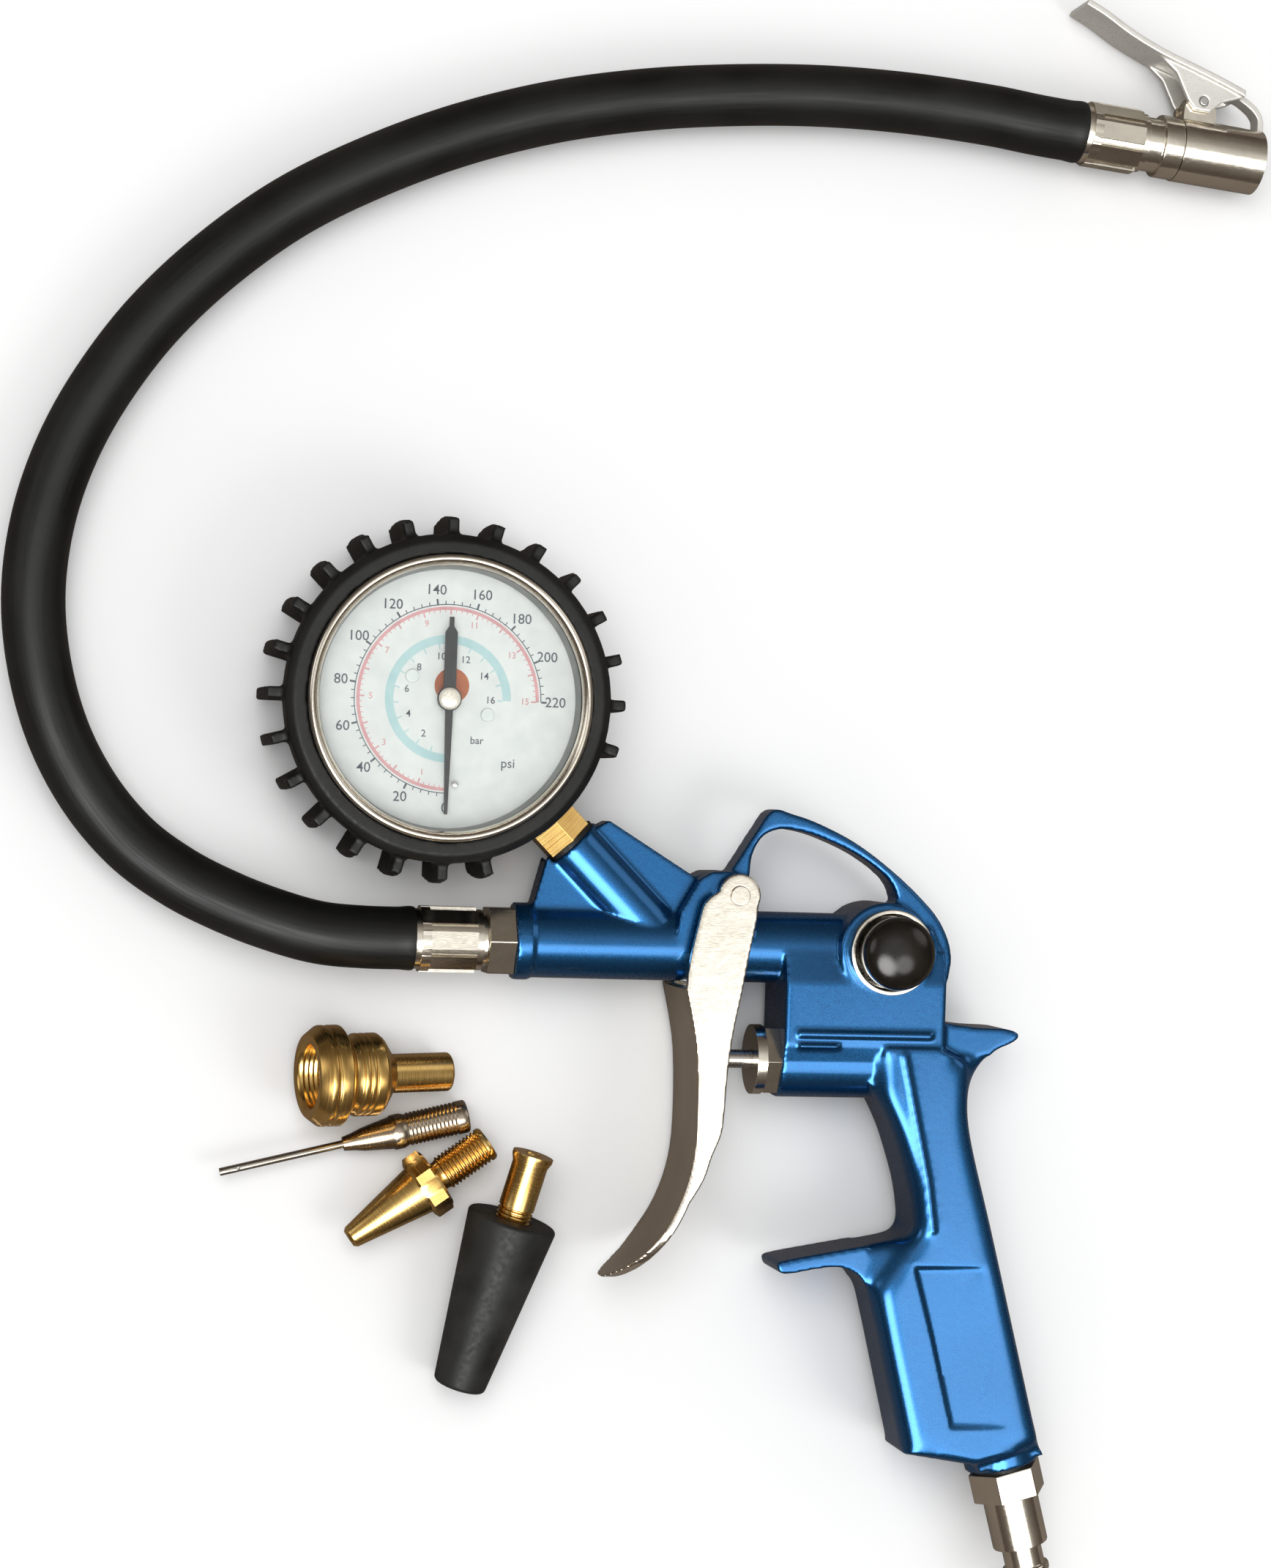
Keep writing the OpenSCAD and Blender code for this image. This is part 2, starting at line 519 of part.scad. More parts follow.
module chuck_core_pin() color(brass) {
    along_chuck(chuck_mouth_u - 14.4) tube(3, 2.1, 2.8);
    along_chuck(chuck_mouth_u - 14.4) difference() {
        cylinder(r = 2.3, h = 1);
        for (turn = [0 : 120 : 240]) rotate(turn) translate([1.5, 0, -1]) cylinder(r = 0.45, h = 3, $fn = 16);
    }
    along_chuck(chuck_mouth_u - 13.6) cylinder(r = 0.8, h = 13.5 - mouth_len);
}

lever_top = curve([[-3.4, 28.6], [1.6, 26.6], [8, 23.4], [16, 20.4], [24, 18.2], [32, 15.8], [38.4, 13.4],
    [42, 10.4], [42.6, 6.6]], 3);
lever_under = [for (i = [0 : len(lever_top) - 1]) let (
    a = lever_top[max(i - 1, 0)], b = lever_top[min(i + 1, len(lever_top) - 1)], run = (b - a) / norm(b - a))
    lever_top[i] + 1.4 * [run[1], -run[0]]];

module chuck_lever() color(nickel) difference() {
    union() {
        chuck_slab(claw_w) polygon(concat(lever_top, flip(lever_under)));
        intersection() {
            chuck_slab(12) polygon(concat(lever_top, flip(lever_under)));
            at_chuck() translate([-8, 0, -6]) cube([44, 40, 12]);
        }
        chuck_slab(claw_w) polygon([[41.1, 6.7], [42.6, 6.7], [42.6, 4.7], [40.4, 4.7]]);
        for (side = [-1, 1])
            at_chuck() translate([0, 0, side * (chuck_cheek_in + chuck_lever_wall / 2) - chuck_lever_wall / 2])
                linear_extrude(chuck_lever_wall) polygon([[14, 19.9], [19.4, 16], [22.8, 10.4], [24.8, 8.4], [28.4, 8.4],
                    [31, 11], [36, 13], [35, 14], [24, 17.6]]);
    }
    at_chuck() translate([chuck_pin_u, chuck_pin_v, -10]) cylinder(r = chuck_pin_r + running_gap, h = 20);
}

chuck_cheek_in = chuck_lug_w / 2 + 0.25;
module chuck_pin() color(steel) at_chuck() {
    half = chuck_cheek_in + chuck_lever_wall + 0.4;
    translate([chuck_pin_u, chuck_pin_v, -half]) cylinder(r = chuck_pin_r, h = 2 * half);
}

module chuck_spring() color(steel) at_chuck() translate([chuck_pin_u, chuck_pin_v, -1.5]) tube(2, chuck_pin_r + 0.3, 3);

// ---- Gauge ----
case_r = bezel_r - 0.8;
case_back_z = 2.6;
case_wall = 0.9;
case_front_z = boot_h - 2.2;
bezel_front_z = boot_h + 2.2;
skirt_z = case_front_z - 3;
stem_clear_r = 6.4;

module fin_profile() polygon([[boot_back_r - 1.4, 3.4], [boot_fin_r - 0.8, 3.4], [boot_fin_r, 12],
    [boot_fin_r, 18], [boot_fin_r - 0.8, boot_h - 3.5], [boot_r - 2, boot_h - 3.5]]);

module gauge_boot() color(black) difference() {
    union() {
        rotate_extrude($fn = 96) polygon([[0, 0], [boot_back_r - 1.5, 0], [boot_back_r, 1.5], [boot_r, boot_h - 7],
            [boot_r, boot_h - 1.6], [boot_r - 1.6, boot_h], [0, boot_h]]);
        for (i = [0 : boot_fin_places - 1]) {
            turn = 90 + i * 360 / boot_fin_places;
            off_stem = abs((turn + 45 + 180) % 360 - 180);
            if (off_stem > 20) rotate([0, 0, turn]) rotate([90, 0, 0]) translate([0, 0, -1.2])
                linear_extrude(2.4) fin_profile();
        }
    }
    translate([0, 0, case_back_z]) cylinder(r = case_r, h = boot_h, $fn = 96);
    translate([0, 0, skirt_z]) cylinder(r = bezel_r, h = boot_h, $fn = 96);
    along_stem(case_r - 3) cylinder(r = stem_clear_r, h = boot_fin_r - case_r + 10);
    for (x = [-9, 9]) translate([x, 0, -1]) cylinder(r = 2.2, h = 5);
}

module gauge_case() color(steel) difference() {
    translate([0, 0, case_back_z]) cylinder(r = case_r, h = case_front_z - case_back_z, $fn = 96);
    translate([0, 0, case_back_z + case_wall]) cylinder(r = case_r - case_wall, h = 40, $fn = 96);
    along_stem(case_r - 6) cylinder(r = 5, h = 12);
    for (x = [-9, 9]) translate([x, 0, 0]) cylinder(r = 1.2, h = 5);
}

module case_screws() color(steel) for (x = [-9, 9]) translate([x, 0, 0]) {
    translate([0, 0, case_back_z - 1.6]) cylinder(r = 2, h = 1.6);
    translate([0, 0, case_back_z - eps]) cylinder(r = 1.2, h = plate_back_z - case_back_z + plate_h);
}

module gauge_bezel() color(nickel) rotate_extrude($fn = 96) polygon([[window_r, bezel_front_z - 1.5],
    [window_r + 0.5, bezel_front_z - 0.3], [window_r + 1.2, bezel_front_z], [bezel_r - 0.6, bezel_front_z],
    [bezel_r, bezel_front_z - 0.7], [bezel_r, skirt_z], [case_r, skirt_z], [case_r, bezel_front_z - 1.5]]);

module gauge_lens() color([0.8, 0.9, 0.95, 0.35]) translate([0, 0, bezel_front_z - 3.1])
    cylinder(r = case_r - 0.05, h = 1.6, $fn = 96);

module lens_gasket() color(black) translate([0, 0, case_front_z]) rotate_extrude($fn = 96)
    polygon([[window_r + 0.2, 0], [case_r - 0.05, 0], [case_r - 0.05, bezel_front_z - case_front_z - 3.1],
        [window_r + 0.2, bezel_front_z - case_front_z - 3.1]]);

module gauge_dial() color(white) difference() {
    translate([0, 0, dial_z - 0.8]) cylinder(r = case_r - case_wall - 0.1, h = 0.8, $fn = 96);
    cylinder(r = 1.2, h = 40);
    for (turn = dial_screw_turns) rotate(turn) translate([dial_screw_r, 0, 0]) cylinder(r = 0.8, h = 40);
}

dial_screw_turns = [150, -20];
dial_screw_r = 9;

module dial_screws() color(brass) for (turn = dial_screw_turns) rotate(turn) translate([dial_screw_r, 0, 0]) {
    translate([0, 0, plate_front_z]) cylinder(r = 0.8, h = dial_z - plate_front_z + eps);
    translate([0, 0, plate_front_z + plate_h]) tube(1.5, 0.8, dial_z - 0.8 - plate_front_z - plate_h);
    translate([0, 0, dial_z]) cylinder(r = 1.4, h = 0.6);
}

needle_z = dial_z + 1.5;
module gauge_needle() color(black) translate([0, 0, needle_z]) linear_extrude(0.5) difference() {
    union() {
        polygon([[-0.35, -needle_len], [0.35, -needle_len], [0.9, 0], [-0.9, 0]]);
        circle(r = 2.6);
        polygon([[-1.3, 0], [1.3, 0], [1.3, 14], [0.5, 15.2], [0.5, 17.2], [-0.5, 17.2], [-0.5, 15.2], [-1.3, 14]]);
    }
    circle(r = 0.7);
}

module needle_hub() color(brass) difference() {
    union() {
        translate([0, 0, needle_z - 0.9]) cylinder(r = 1.3, h = 0.9);
        translate([0, 0, needle_z + 0.5]) rotate_extrude() polygon([[0, 0], [2.3, 0], [2.3, 0.7], [1.9, 1.1], [0, 1.2]]);
    }
    translate([0, 0, needle_z - 2]) cylinder(r = 0.7, h = 3);
}

module needle_stop() color(steel) rotate(-84) translate([18, 0, dial_z]) cylinder(r = 0.6, h = 1.9);

// ---- Gauge movement ----
plate_h = 0.9;
plate_back_z = 8.6;
plate_front_z = 19.6;
sector_turn = 200;
gear_module = 0.3;
pinion_teeth = 8;
sector_teeth = 80;
pinion_r = gear_module * pinion_teeth / 2;
sector_r = gear_module * sector_teeth / 2;
gear_span = pinion_r + sector_r;
sector_x = gear_span * cos(sector_turn);
sector_y = gear_span * sin(sector_turn);
tail_len = 4;
link_pin_r = 0.4;
socket_in = 15;
tube_mid_r = 22;
tube_wide = 3.4;
tube_deep = 8;
tube_sweep = 248;
tube_start = 18;
shaft_r = 0.7;
gear_z = 13.4;

module gauge_socket() color(brass) difference() {
    union() {
        rotate([0, 0, -45]) translate([socket_in, -6, gun_z - 6]) cube([11.9, 12, 12]);
        rotate([0, 0, -45]) rotate_extrude(angle = tube_start, $fn = 72) translate([tube_mid_r, gun_z])
            square([tube_wide, tube_deep], center = true);
        along_stem(socket_in + 11.4) cylinder(r = 5, h = boss_reach - socket_in - 11.4);
        along_stem(boot_r - 2.8) hexagon(10.6, boss_reach - boot_r + 1.9);
        along_stem(boss_reach - eps) cylinder(r = stem_thread_r, h = stem_thread_len - 0.5);
    }
    along_stem(tube_mid_r) cylinder(r = 1.5, h = 40);
    rotate([0, 0, -45]) translate([tube_mid_r, 0, gun_z]) rotate([-90, 0, 0]) cylinder(r = 1.5, h = 7);
}

module socket_washer() color(black) along_stem(boss_reach - 0.9) tube(6.2, stem_thread_r + 0.3, 0.9);

module bourdon_tube() color(brass) rotate([0, 0, -45]) {
    rotate([0, 0, tube_start]) rotate_extrude(angle = tube_sweep, $fn = 72) translate([tube_mid_r, gun_z]) difference() {
        square([tube_wide, tube_deep], center = true);
        square([tube_wide - 1, tube_deep - 1], center = true);
    }
    rotate([0, 0, tube_start + tube_sweep]) translate([tube_mid_r, 0, gun_z]) {
        translate([0.3 - tube_wide / 2, -1, 0.3 - tube_deep / 2]) cube([tube_wide - 0.6, 3, tube_deep - 0.6]);
        translate([-6.4, 0.2, -1]) cube([5.4, 1.6, 0.8]);
    }
}

module movement_outline() {
    circle(r = 4.4);
    translate([sector_x, sector_y]) circle(r = 3);
    rotate(sector_turn) translate([0, -3]) square([gear_span, 6]);
    for (turn = concat(dial_screw_turns, [0, 180])) rotate(turn) translate([0, -2]) square([dial_screw_r, 4]);
    for (turn = concat(dial_screw_turns, [0, 180])) rotate(turn) translate([dial_screw_r, 0]) circle(r = 2.2);
}

module movement_plates() color(brass) for (z = [plate_back_z, plate_front_z]) translate([0, 0, z]) difference() {
    linear_extrude(plate_h) movement_outline();
    translate([0, 0, -1]) cylinder(r = shaft_r + running_gap, h = 4);
    translate([sector_x, sector_y, -1]) cylinder(r = shaft_r + running_gap, h = 4);
    if (z == plate_back_z) for (x = [-9, 9]) translate([x, 0, -1]) cylinder(r = 1.2, h = 4);
    if (z == plate_front_z) for (turn = dial_screw_turns) rotate(turn) translate([dial_screw_r, 0, -1])
        cylinder(r = 0.8, h = 4);
}

module movement_pillars() color(brass) {
    for (turn = dial_screw_turns) rotate(turn) translate([dial_screw_r, 0, plate_back_z + plate_h])
        cylinder(r = 1.4, h = plate_front_z - plate_back_z - plate_h);
    for (x = [-9, 9]) translate([x, 0, case_back_z + case_wall]) tube(2, 1.2, plate_back_z - case_back_z - case_wall);
}

// One gear tooth as a narrow trapezium, so that the pair runs with backlash.
module gear_tooth(pitch_r, half_w) polygon([[pitch_r - 1.3 * gear_module, -1.5 * half_w],
    [pitch_r + 0.7 * gear_module, -0.6 * half_w], [pitch_r + 0.7 * gear_module, 0.6 * half_w],
    [pitch_r - 1.3 * gear_module, 1.5 * half_w]]);

module sector_gear() color(brass) translate([sector_x, sector_y, 0]) {
    web_start = sector_turn + 180 + 3.5;
    translate([0, 0, gear_z - 0.6]) linear_extrude(1) difference() {
        union() {
            circle(r = 2.2);
            difference() {
                polygon([[0, 0], for (k = [0 : 6]) 14 * [cos(web_start - k * 5.75), sin(web_start - k * 5.75)]]);
                difference() {
                    circle(r = 30);
                    circle(r = sector_r - 1.1 * gear_module, $fn = 96);
                }
            }
            for (k = [0 : 7]) rotate(sector_turn + 180 + (0.5 - k) * 360 / sector_teeth)
                gear_tooth(sector_r, 0.13);
            rotate(tail_turn) translate([0, -0.9]) square([tail_len, 1.8]);
            rotate(tail_turn) translate([tail_len, 0]) circle(r = 1.1);
        }
        rotate(tail_turn) translate([tail_len, 0]) circle(r = link_pin_r + running_gap);
    }
    translate([0, 0, plate_back_z - 0.3]) cylinder(r = shaft_r, h = plate_front_z - plate_back_z + plate_h + 0.6);
}

module pinion_shaft() color(steel) {
    translate([0, 0, plate_back_z - 0.3]) cylinder(r = shaft_r, h = needle_z + 0.5 - plate_back_z + 0.3);
    translate([0, 0, gear_z - 1]) linear_extrude(1.8) {
        circle(r = pinion_r - 1.2 * gear_module);
        for (k = [0 : pinion_teeth - 1]) rotate(sector_turn + k * 360 / pinion_teeth) gear_tooth(pinion_r, 0.13);
    }
}

tail_turn = sector_turn - 60;
// Link from the tube's end to the sector's tail.
module tube_link() color(steel) {
    tip = tube_tip();
    tail = [sector_x + tail_len * cos(tail_turn), sector_y + tail_len * sin(tail_turn)];
    way = tip - tail;
    translate([0, 0, gear_z + 0.7]) linear_extrude(0.6) {
        translate(tail) rotate(atan2(way[1], way[0])) translate([0, -0.6]) square([norm(way), 1.2]);
        translate(tail) circle(r = 1);
        translate(tip) circle(r = 1);
    }
    translate([tail[0], tail[1], gear_z - 0.8]) cylinder(r = link_pin_r, h = 1.6);
    translate([tip[0], tip[1], gun_z - 0.18]) cylinder(r = link_pin_r, h = gear_z - gun_z + 1);
}
function tube_tip() = let (turn = -45 + tube_start + tube_sweep)
    [(tube_mid_r - 5.4) * cos(turn) - 1 * sin(turn), (tube_mid_r - 5.4) * sin(turn) + 1 * cos(turn)];

module hairspring() color(steel) translate([0, 0, 17]) linear_extrude(0.5) {
    turns = 3;
    spiral = [for (k = [0 : 24 * turns]) (1 + 2.6 * k / (24 * turns)) * [cos(15 * k), sin(15 * k)]];
    wide = [for (k = [0 : 24 * turns]) (1.22 + 2.6 * k / (24 * turns)) * [cos(15 * k), sin(15 * k)]];
    polygon(concat(spiral, flip(wide)));
}

// ---- Adapters ----
module lay_piece(x, y, z, turn, dip) translate([x, y, z]) rotate([0, 0, turn]) rotate([0, 90 + dip, 0]) children();

coupling_tube_r = adapter_thread_r + 0.3;
coupling_dip = atan(1.9 / 8.4);
coupling_lift = 6.8 * sin(coupling_dip) + coupling_head_r * cos(coupling_dip);
module at_coupling() lay_piece(-25.4, -80.9, coupling_lift + 0.02, 1.6, coupling_dip) children();

module coupling_body() color(brass) at_coupling() difference() {
    union() {
        rotate_extrude() polygon([[0, 0], [coupling_head_r - 1.8, 0], [coupling_head_r, 2.4], [coupling_head_r, 6.8],
            [coupling_head_r - 2.4, 8.4], [coupling_head_r - 2.4, 9.8], [coupling_head_r - 1.9, 10.3],
            [coupling_head_r - 1.9, 15.2], [coupling_head_r - 2.7, 16.2], [coupling_tube_r, 18.8],
            [coupling_tube_r, 32.2], [0, 32.2]]);
    }
    translate([0, 0, -1]) cylinder(r = 6.6, h = 12);
    translate([0, 0, 5]) cylinder(r = 1.6, h = 40);
}

module coupling_seal() color(black) at_coupling() translate([0, 0, 8.8]) tube(6.6, 2.6, 2.2);

module coupling_pin() color(steel) at_coupling() translate([0, 0, 5]) difference() {
    cylinder(r = 1.6, h = 14);
    translate([0, 0, -1]) cylinder(r = 0.7, h = 16);
}

ball_hub_r = 3.8;
ball_dip = atan(0.2 / 14.6);
module at_ball_needle() lay_piece(-42.5, -102.3, 40 * sin(ball_dip) + ball_hub_r * cos(ball_dip) + 0.02, 13.4, ball_dip)
    children();

module ball_needle_hub() color(nickel) at_ball_needle() difference() {
    translate([0, 0, 27]) rotate_extrude() polygon([[0, 0], [1.6, 0], [2.4, 4], [ball_hub_r - 0.2, 11], [ball_hub_r, 11],
        [ball_hub_r, 13], [ball_hub_r - 0.2, 13.4], [ball_hub_r - 0.2, 27.6], [0, 27.6]]);
    translate([0, 0, 20]) cylinder(r = ball_needle_r, h = 20);
    translate([0, 0, 38]) cylinder(r = 1.5, h = 30);
}

module ball_needle_tube() color(steel) at_ball_needle() difference() {
    union() {
        cylinder(r = ball_needle_r, h = 36);
    }
    translate([0, 0, 3]) cylinder(r = ball_needle_r - 0.35, h = 40);
    translate([-3, 0, 4]) rotate([0, 90, 0]) cylinder(r = 0.35, h = 6, $fn = 16);
}

nozzle_flats = 13;
module taper_nozzle() color(brass) lay_piece(-14.6, -116.1, nozzle_flats / 2 + 0.02, 35.5, 0) rotate(30) difference() {
    union() {
        rotate_extrude() polygon([[0, 0], [2.1, 0], [2.5, 0.6], [5.6, 18.3], [0, 18.3]]);
        translate([0, 0, 18.2]) hexagon(nozzle_flats, 4.7);
        translate([0, 0, 22.8]) cylinder(r = 3.3, h = 1.4);
        translate([0, 0, 24.1]) cylinder(r = adapter_thread_r, h = 12.2);
    }
    translate([0, 0, -1]) cylinder(r = 1.4, h = 50);
}

cone_dip = atan((cone_small_r - cone_big_r) / 38.4);
module at_cone() lay_piece(10.5, -147.9, cone_small_r * cos(cone_dip) + 0.02, 75, cone_dip) children();

module cone_tube() color(brass) at_cone() difference() {
    union() {
        translate([0, 0, 20]) cylinder(r = 3.5, h = 17);
        translate([0, 0, 36]) cylinder(r = adapter_thread_r, h = 15);
        translate([0, 0, 50.8]) rotate_extrude() polygon([[0, 0], [adapter_thread_r, 0], [adapter_thread_r + 0.6, 1.4],
            [adapter_thread_r + 0.6, 2.2], [0, 2.2]]);
    }
    translate([0, 0, 10]) cylinder(r = 1.6, h = 60);
}

module rubber_cone() color(black) at_cone() difference() {
    rotate_extrude() polygon([[0, 0], [cone_small_r, 0], [cone_big_r, 38.4], [0, 38.4]]);
    translate([0, 0, 20]) cylinder(r = 3.5, h = 16.1);
    translate([0, 0, 36]) cylinder(r = adapter_thread_r, h = 15);
    translate([0, 0, -1]) cylinder(r = 1.8, h = 50);
}

body_casting();
trigger_lever();
trigger_pin();
gland_nut();
stem_seal();
valve_stem();
valve_poppet();
valve_seat();
valve_spring();
bleed_collar();
bleed_button();
bleed_poppet();
bleed_spring();
inlet_plug();
inlet_seal();
hose_fitting();
hose_ferrule();
hose();
chuck_ferrule();
chuck_stem();
chuck_body();
chuck_seal();
chuck_core_pin();
chuck_lever();
chuck_pin();
chuck_spring();
gauge_boot();
gauge_case();
case_screws();
gauge_bezel();
gauge_lens();
lens_gasket();
gauge_dial();
dial_screws();
gauge_needle();
needle_hub();
needle_stop();
gauge_socket();
socket_washer();
bourdon_tube();
tube_link();
movement_plates();
movement_pillars();
sector_gear();
pinion_shaft();
hairspring();
coupling_body();
coupling_seal();
coupling_pin();
ball_needle_hub();
ball_needle_tube();
taper_nozzle();
cone_tube();
rubber_cone();
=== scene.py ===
"""Looks of a tyre inflator gun with its gauge, hose, chuck and loose adapters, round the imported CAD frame."""
import json
import math

import bmesh
import bpy
import numpy as np
from mathutils import Matrix, Vector


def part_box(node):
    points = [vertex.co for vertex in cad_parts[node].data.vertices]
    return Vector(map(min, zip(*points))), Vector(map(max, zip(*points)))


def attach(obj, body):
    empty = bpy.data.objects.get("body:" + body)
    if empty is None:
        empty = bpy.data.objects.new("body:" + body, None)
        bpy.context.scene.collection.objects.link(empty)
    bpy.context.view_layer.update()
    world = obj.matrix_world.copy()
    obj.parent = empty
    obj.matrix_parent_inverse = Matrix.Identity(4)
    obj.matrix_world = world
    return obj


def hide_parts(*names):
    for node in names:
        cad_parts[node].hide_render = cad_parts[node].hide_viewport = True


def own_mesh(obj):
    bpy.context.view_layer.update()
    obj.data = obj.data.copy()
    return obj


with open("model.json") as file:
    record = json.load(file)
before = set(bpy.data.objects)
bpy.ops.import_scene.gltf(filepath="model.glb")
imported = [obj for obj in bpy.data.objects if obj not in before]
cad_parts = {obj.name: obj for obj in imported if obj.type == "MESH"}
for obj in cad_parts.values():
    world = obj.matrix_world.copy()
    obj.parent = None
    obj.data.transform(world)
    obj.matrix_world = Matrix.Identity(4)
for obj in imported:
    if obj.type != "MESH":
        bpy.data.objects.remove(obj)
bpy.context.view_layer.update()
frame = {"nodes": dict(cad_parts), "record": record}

MM = 0.001
NODES = frame["nodes"]
SLOT_OF = {part["node"]: part["material_slot"] for part in frame["record"]["subparts"]}
BODY_OF = {node: body for body, nodes in frame["record"]["behaviour"]["bodies"].items() for node in nodes}

# Places that the pieces share with the CAD model, in millimetres.
GUN_Z = 13.0
DIAL_Z = 24.4
BEZEL_FRONT_Z = 31.2
BUTTON_X, BUTTON_Y = 98.9, -51.0


# ---- Camera ----
def add_camera():
    """A camera that looks down at the object, tilted as in the photograph."""
    right = Vector((0.97645, 0.03410, 0.21303))
    up = Vector((-0.03490, 0.99939, 0.0))
    forward = Vector((0.21290, 0.00743, -0.97705))
    data = bpy.data.cameras.new("photo_camera")
    data.sensor_width = 36
    data.lens = 74.15
    data.clip_start, data.clip_end = 0.05, 20
    camera = bpy.data.objects.new("photo_camera", data)
    camera.matrix_world = Matrix.Translation(Vector((-105.486, -21.601, 696.93)) * MM) @ Matrix(
        (right, up, -forward)).transposed().to_4x4()
    bpy.context.scene.collection.objects.link(camera)
    bpy.context.scene.camera = camera


# ---- Material recipes ----
class Recipe:
    """A Principled material with short calls for the nodes that the finishes share."""

    def __init__(self, name, **numbers):
        self.material = bpy.data.materials.new(name)
        self.material.use_nodes = True
        self.tree = self.material.node_tree
        self.shader = self.tree.nodes["Principled BSDF"]
        self.place = self.tree.nodes.new("ShaderNodeTexCoord").outputs["Object"]
        for socket, value in numbers.items():
            self.shader.inputs[socket.replace("_", " ")].default_value = value

    def node(self, kind, inputs=(), **settings):
        made = self.tree.nodes.new("ShaderNode" + kind)
        for key, value in settings.items():
            setattr(made, key, value)
        for socket, value in dict(inputs).items():
            if isinstance(value, bpy.types.NodeSocket):
                self.tree.links.new(value, made.inputs[socket])
            else:
                made.inputs[socket].default_value = value
        return made

    def noise(self, scale, detail=3.0, stretch=(1, 1, 1)):
        """Noise over the object's own metres; stretch scales each axis."""
        spread = self.node("Mapping", {"Vector": self.place, "Scale": stretch})
        noise = self.node("TexNoise", {"Vector": spread.outputs[0], "Scale": scale, "Detail": detail})
        return noise.outputs[0]

    def rings(self, axis, scale):
        """Noise that changes only along an axis, as the marks of a lathe do."""
        along = self.node("VectorMath", {0: self.place, 1: axis}, operation="DOT_PRODUCT")
        return self.node("TexNoise", {"W": along.outputs["Value"], "Scale": scale, "Detail": 4.0},
                         noise_dimensions="1D").outputs[0]

    def span(self, value, low, high):
        """Maps the middle of a noise to the span from low to high."""
        return self.node("MapRange", {"Value": value, "From Min": 0.3, "From Max": 0.7, "To Min": low,
                                      "To Max": high}).outputs[0]

    def blend(self, factor, first, second):
        mixer = self.node("Mix", {"Factor": factor}, data_type="RGBA")
        for socket, colour in ((6, first), (7, second)):
            if isinstance(colour, bpy.types.NodeSocket):
                self.tree.links.new(colour, mixer.inputs[socket])
            else:
                mixer.inputs[socket].default_value = (*colour, 1)
        return mixer.outputs[2]

    def bump(self, height, depth_mm, under=None):
        """Relief of a real depth in millimetres, added over an earlier one."""
        inputs = {"Height": height, "Strength": 1.0, "Distance": depth_mm * MM}
        if under is not None:
            inputs["Normal"] = under
        return self.node("Bump", inputs).outputs[0]

    def feed(self, **sockets):
        for socket, value in sockets.items():
            self.tree.links.new(value, self.shader.inputs[socket.replace("_", " ")])
        return self.material


def blue_paint():
    """Deep metallic paint under a clear coat, with fine flakes and a faint orange peel."""
    made = Recipe("blue_paint_metallic", Metallic=0.90, Coat_Weight=0.5, Coat_Roughness=0.06)
    flakes = made.noise(5200, 2)
    clouds = made.noise(38, 3)
    depth = made.blend(made.span(clouds, 0, 1), (0.006, 0.070, 0.215), (0.010, 0.094, 0.275))
    colour = made.blend(made.span(flakes, 0, 0.4), depth, (0.03, 0.24, 0.53))
    relief = made.bump(made.noise(700, 2), 0.012)
    return made.feed(Base_Color=colour, Roughness=made.span(flakes, 0.20, 0.30), Normal=relief)


def plated(name, colour, rough_low, rough_high, metallic=1.0):
    """Nickel plating with soft clouding, fine polishing marks and small dents."""
    made = Recipe(name, Metallic=metallic)
    clouds = made.noise(120, 4)
    marks = made.noise(900, 3, (1, 6, 1))
    tint = tuple(c * 0.86 for c in colour)
    relief = made.bump(marks, 0.006, made.bump(made.noise(260, 2), 0.035))
    return made.feed(Base_Color=made.blend(made.span(clouds, 0, 1), tint, colour),
                     Roughness=made.span(marks, rough_low, rough_high), Normal=relief)


def turned(name, colour, axis, rough_low=0.16, rough_high=0.30):
    """Metal with the fine rings that a lathe leaves round an axis."""
    made = Recipe(name, Metallic=1.0)
    rings = made.rings(axis, 3400)
    stain = made.noise(150, 4)
    dark = (colour[0] * 0.80, colour[1] * 0.72, colour[2] * 0.60)
    relief = made.bump(rings, 0.003, made.bump(made.noise(420, 2), 0.006))
    return made.feed(Base_Color=made.blend(made.span(stain, 0, 1), dark, colour),
                     Roughness=made.span(rings, rough_low, rough_high), Normal=relief)


def rubber(name, dark, light, rough=0.50, grain=1500):
    """Matt black rubber with a fine grain and faint dust."""
    made = Recipe(name, Specular_IOR_Level=0.34)
    dust = made.noise(85, 5)
    fine = made.noise(grain, 3)
    relief = made.bump(fine, 0.02, made.bump(made.noise(300, 2), 0.03))
    return made.feed(Base_Color=made.blend(made.span(dust, 0, 1), dark, light),
                     Roughness=made.span(fine, rough - 0.08, rough + 0.10), Normal=relief)


def hose_rubber():
    """Hose rubber with long draw marks; its UV map runs round and along the hose in metres."""
    made = Recipe("hose_rubber", Specular_IOR_Level=0.34)
    drawn = made.node("UVMap", uv_map="hose_map")
    lines = made.node("Mapping", {"Vector": drawn.outputs[0], "Scale": (1, 0.04, 1)})
    marks = made.node("TexNoise", {"Vector": lines.outputs[0], "Scale": 1700.0, "Detail": 3.0}).outputs[0]
    dust = made.noise(60, 5)
    relief = made.bump(marks, 0.03, made.bump(made.noise(1300, 2), 0.012))
    colour = made.blend(made.span(dust, 0, 1), (0.0035, 0.0035, 0.0033), (0.009, 0.009, 0.0085))
    return made.feed(Base_Color=colour, Roughness=made.span(marks, 0.36, 0.52), Normal=relief)


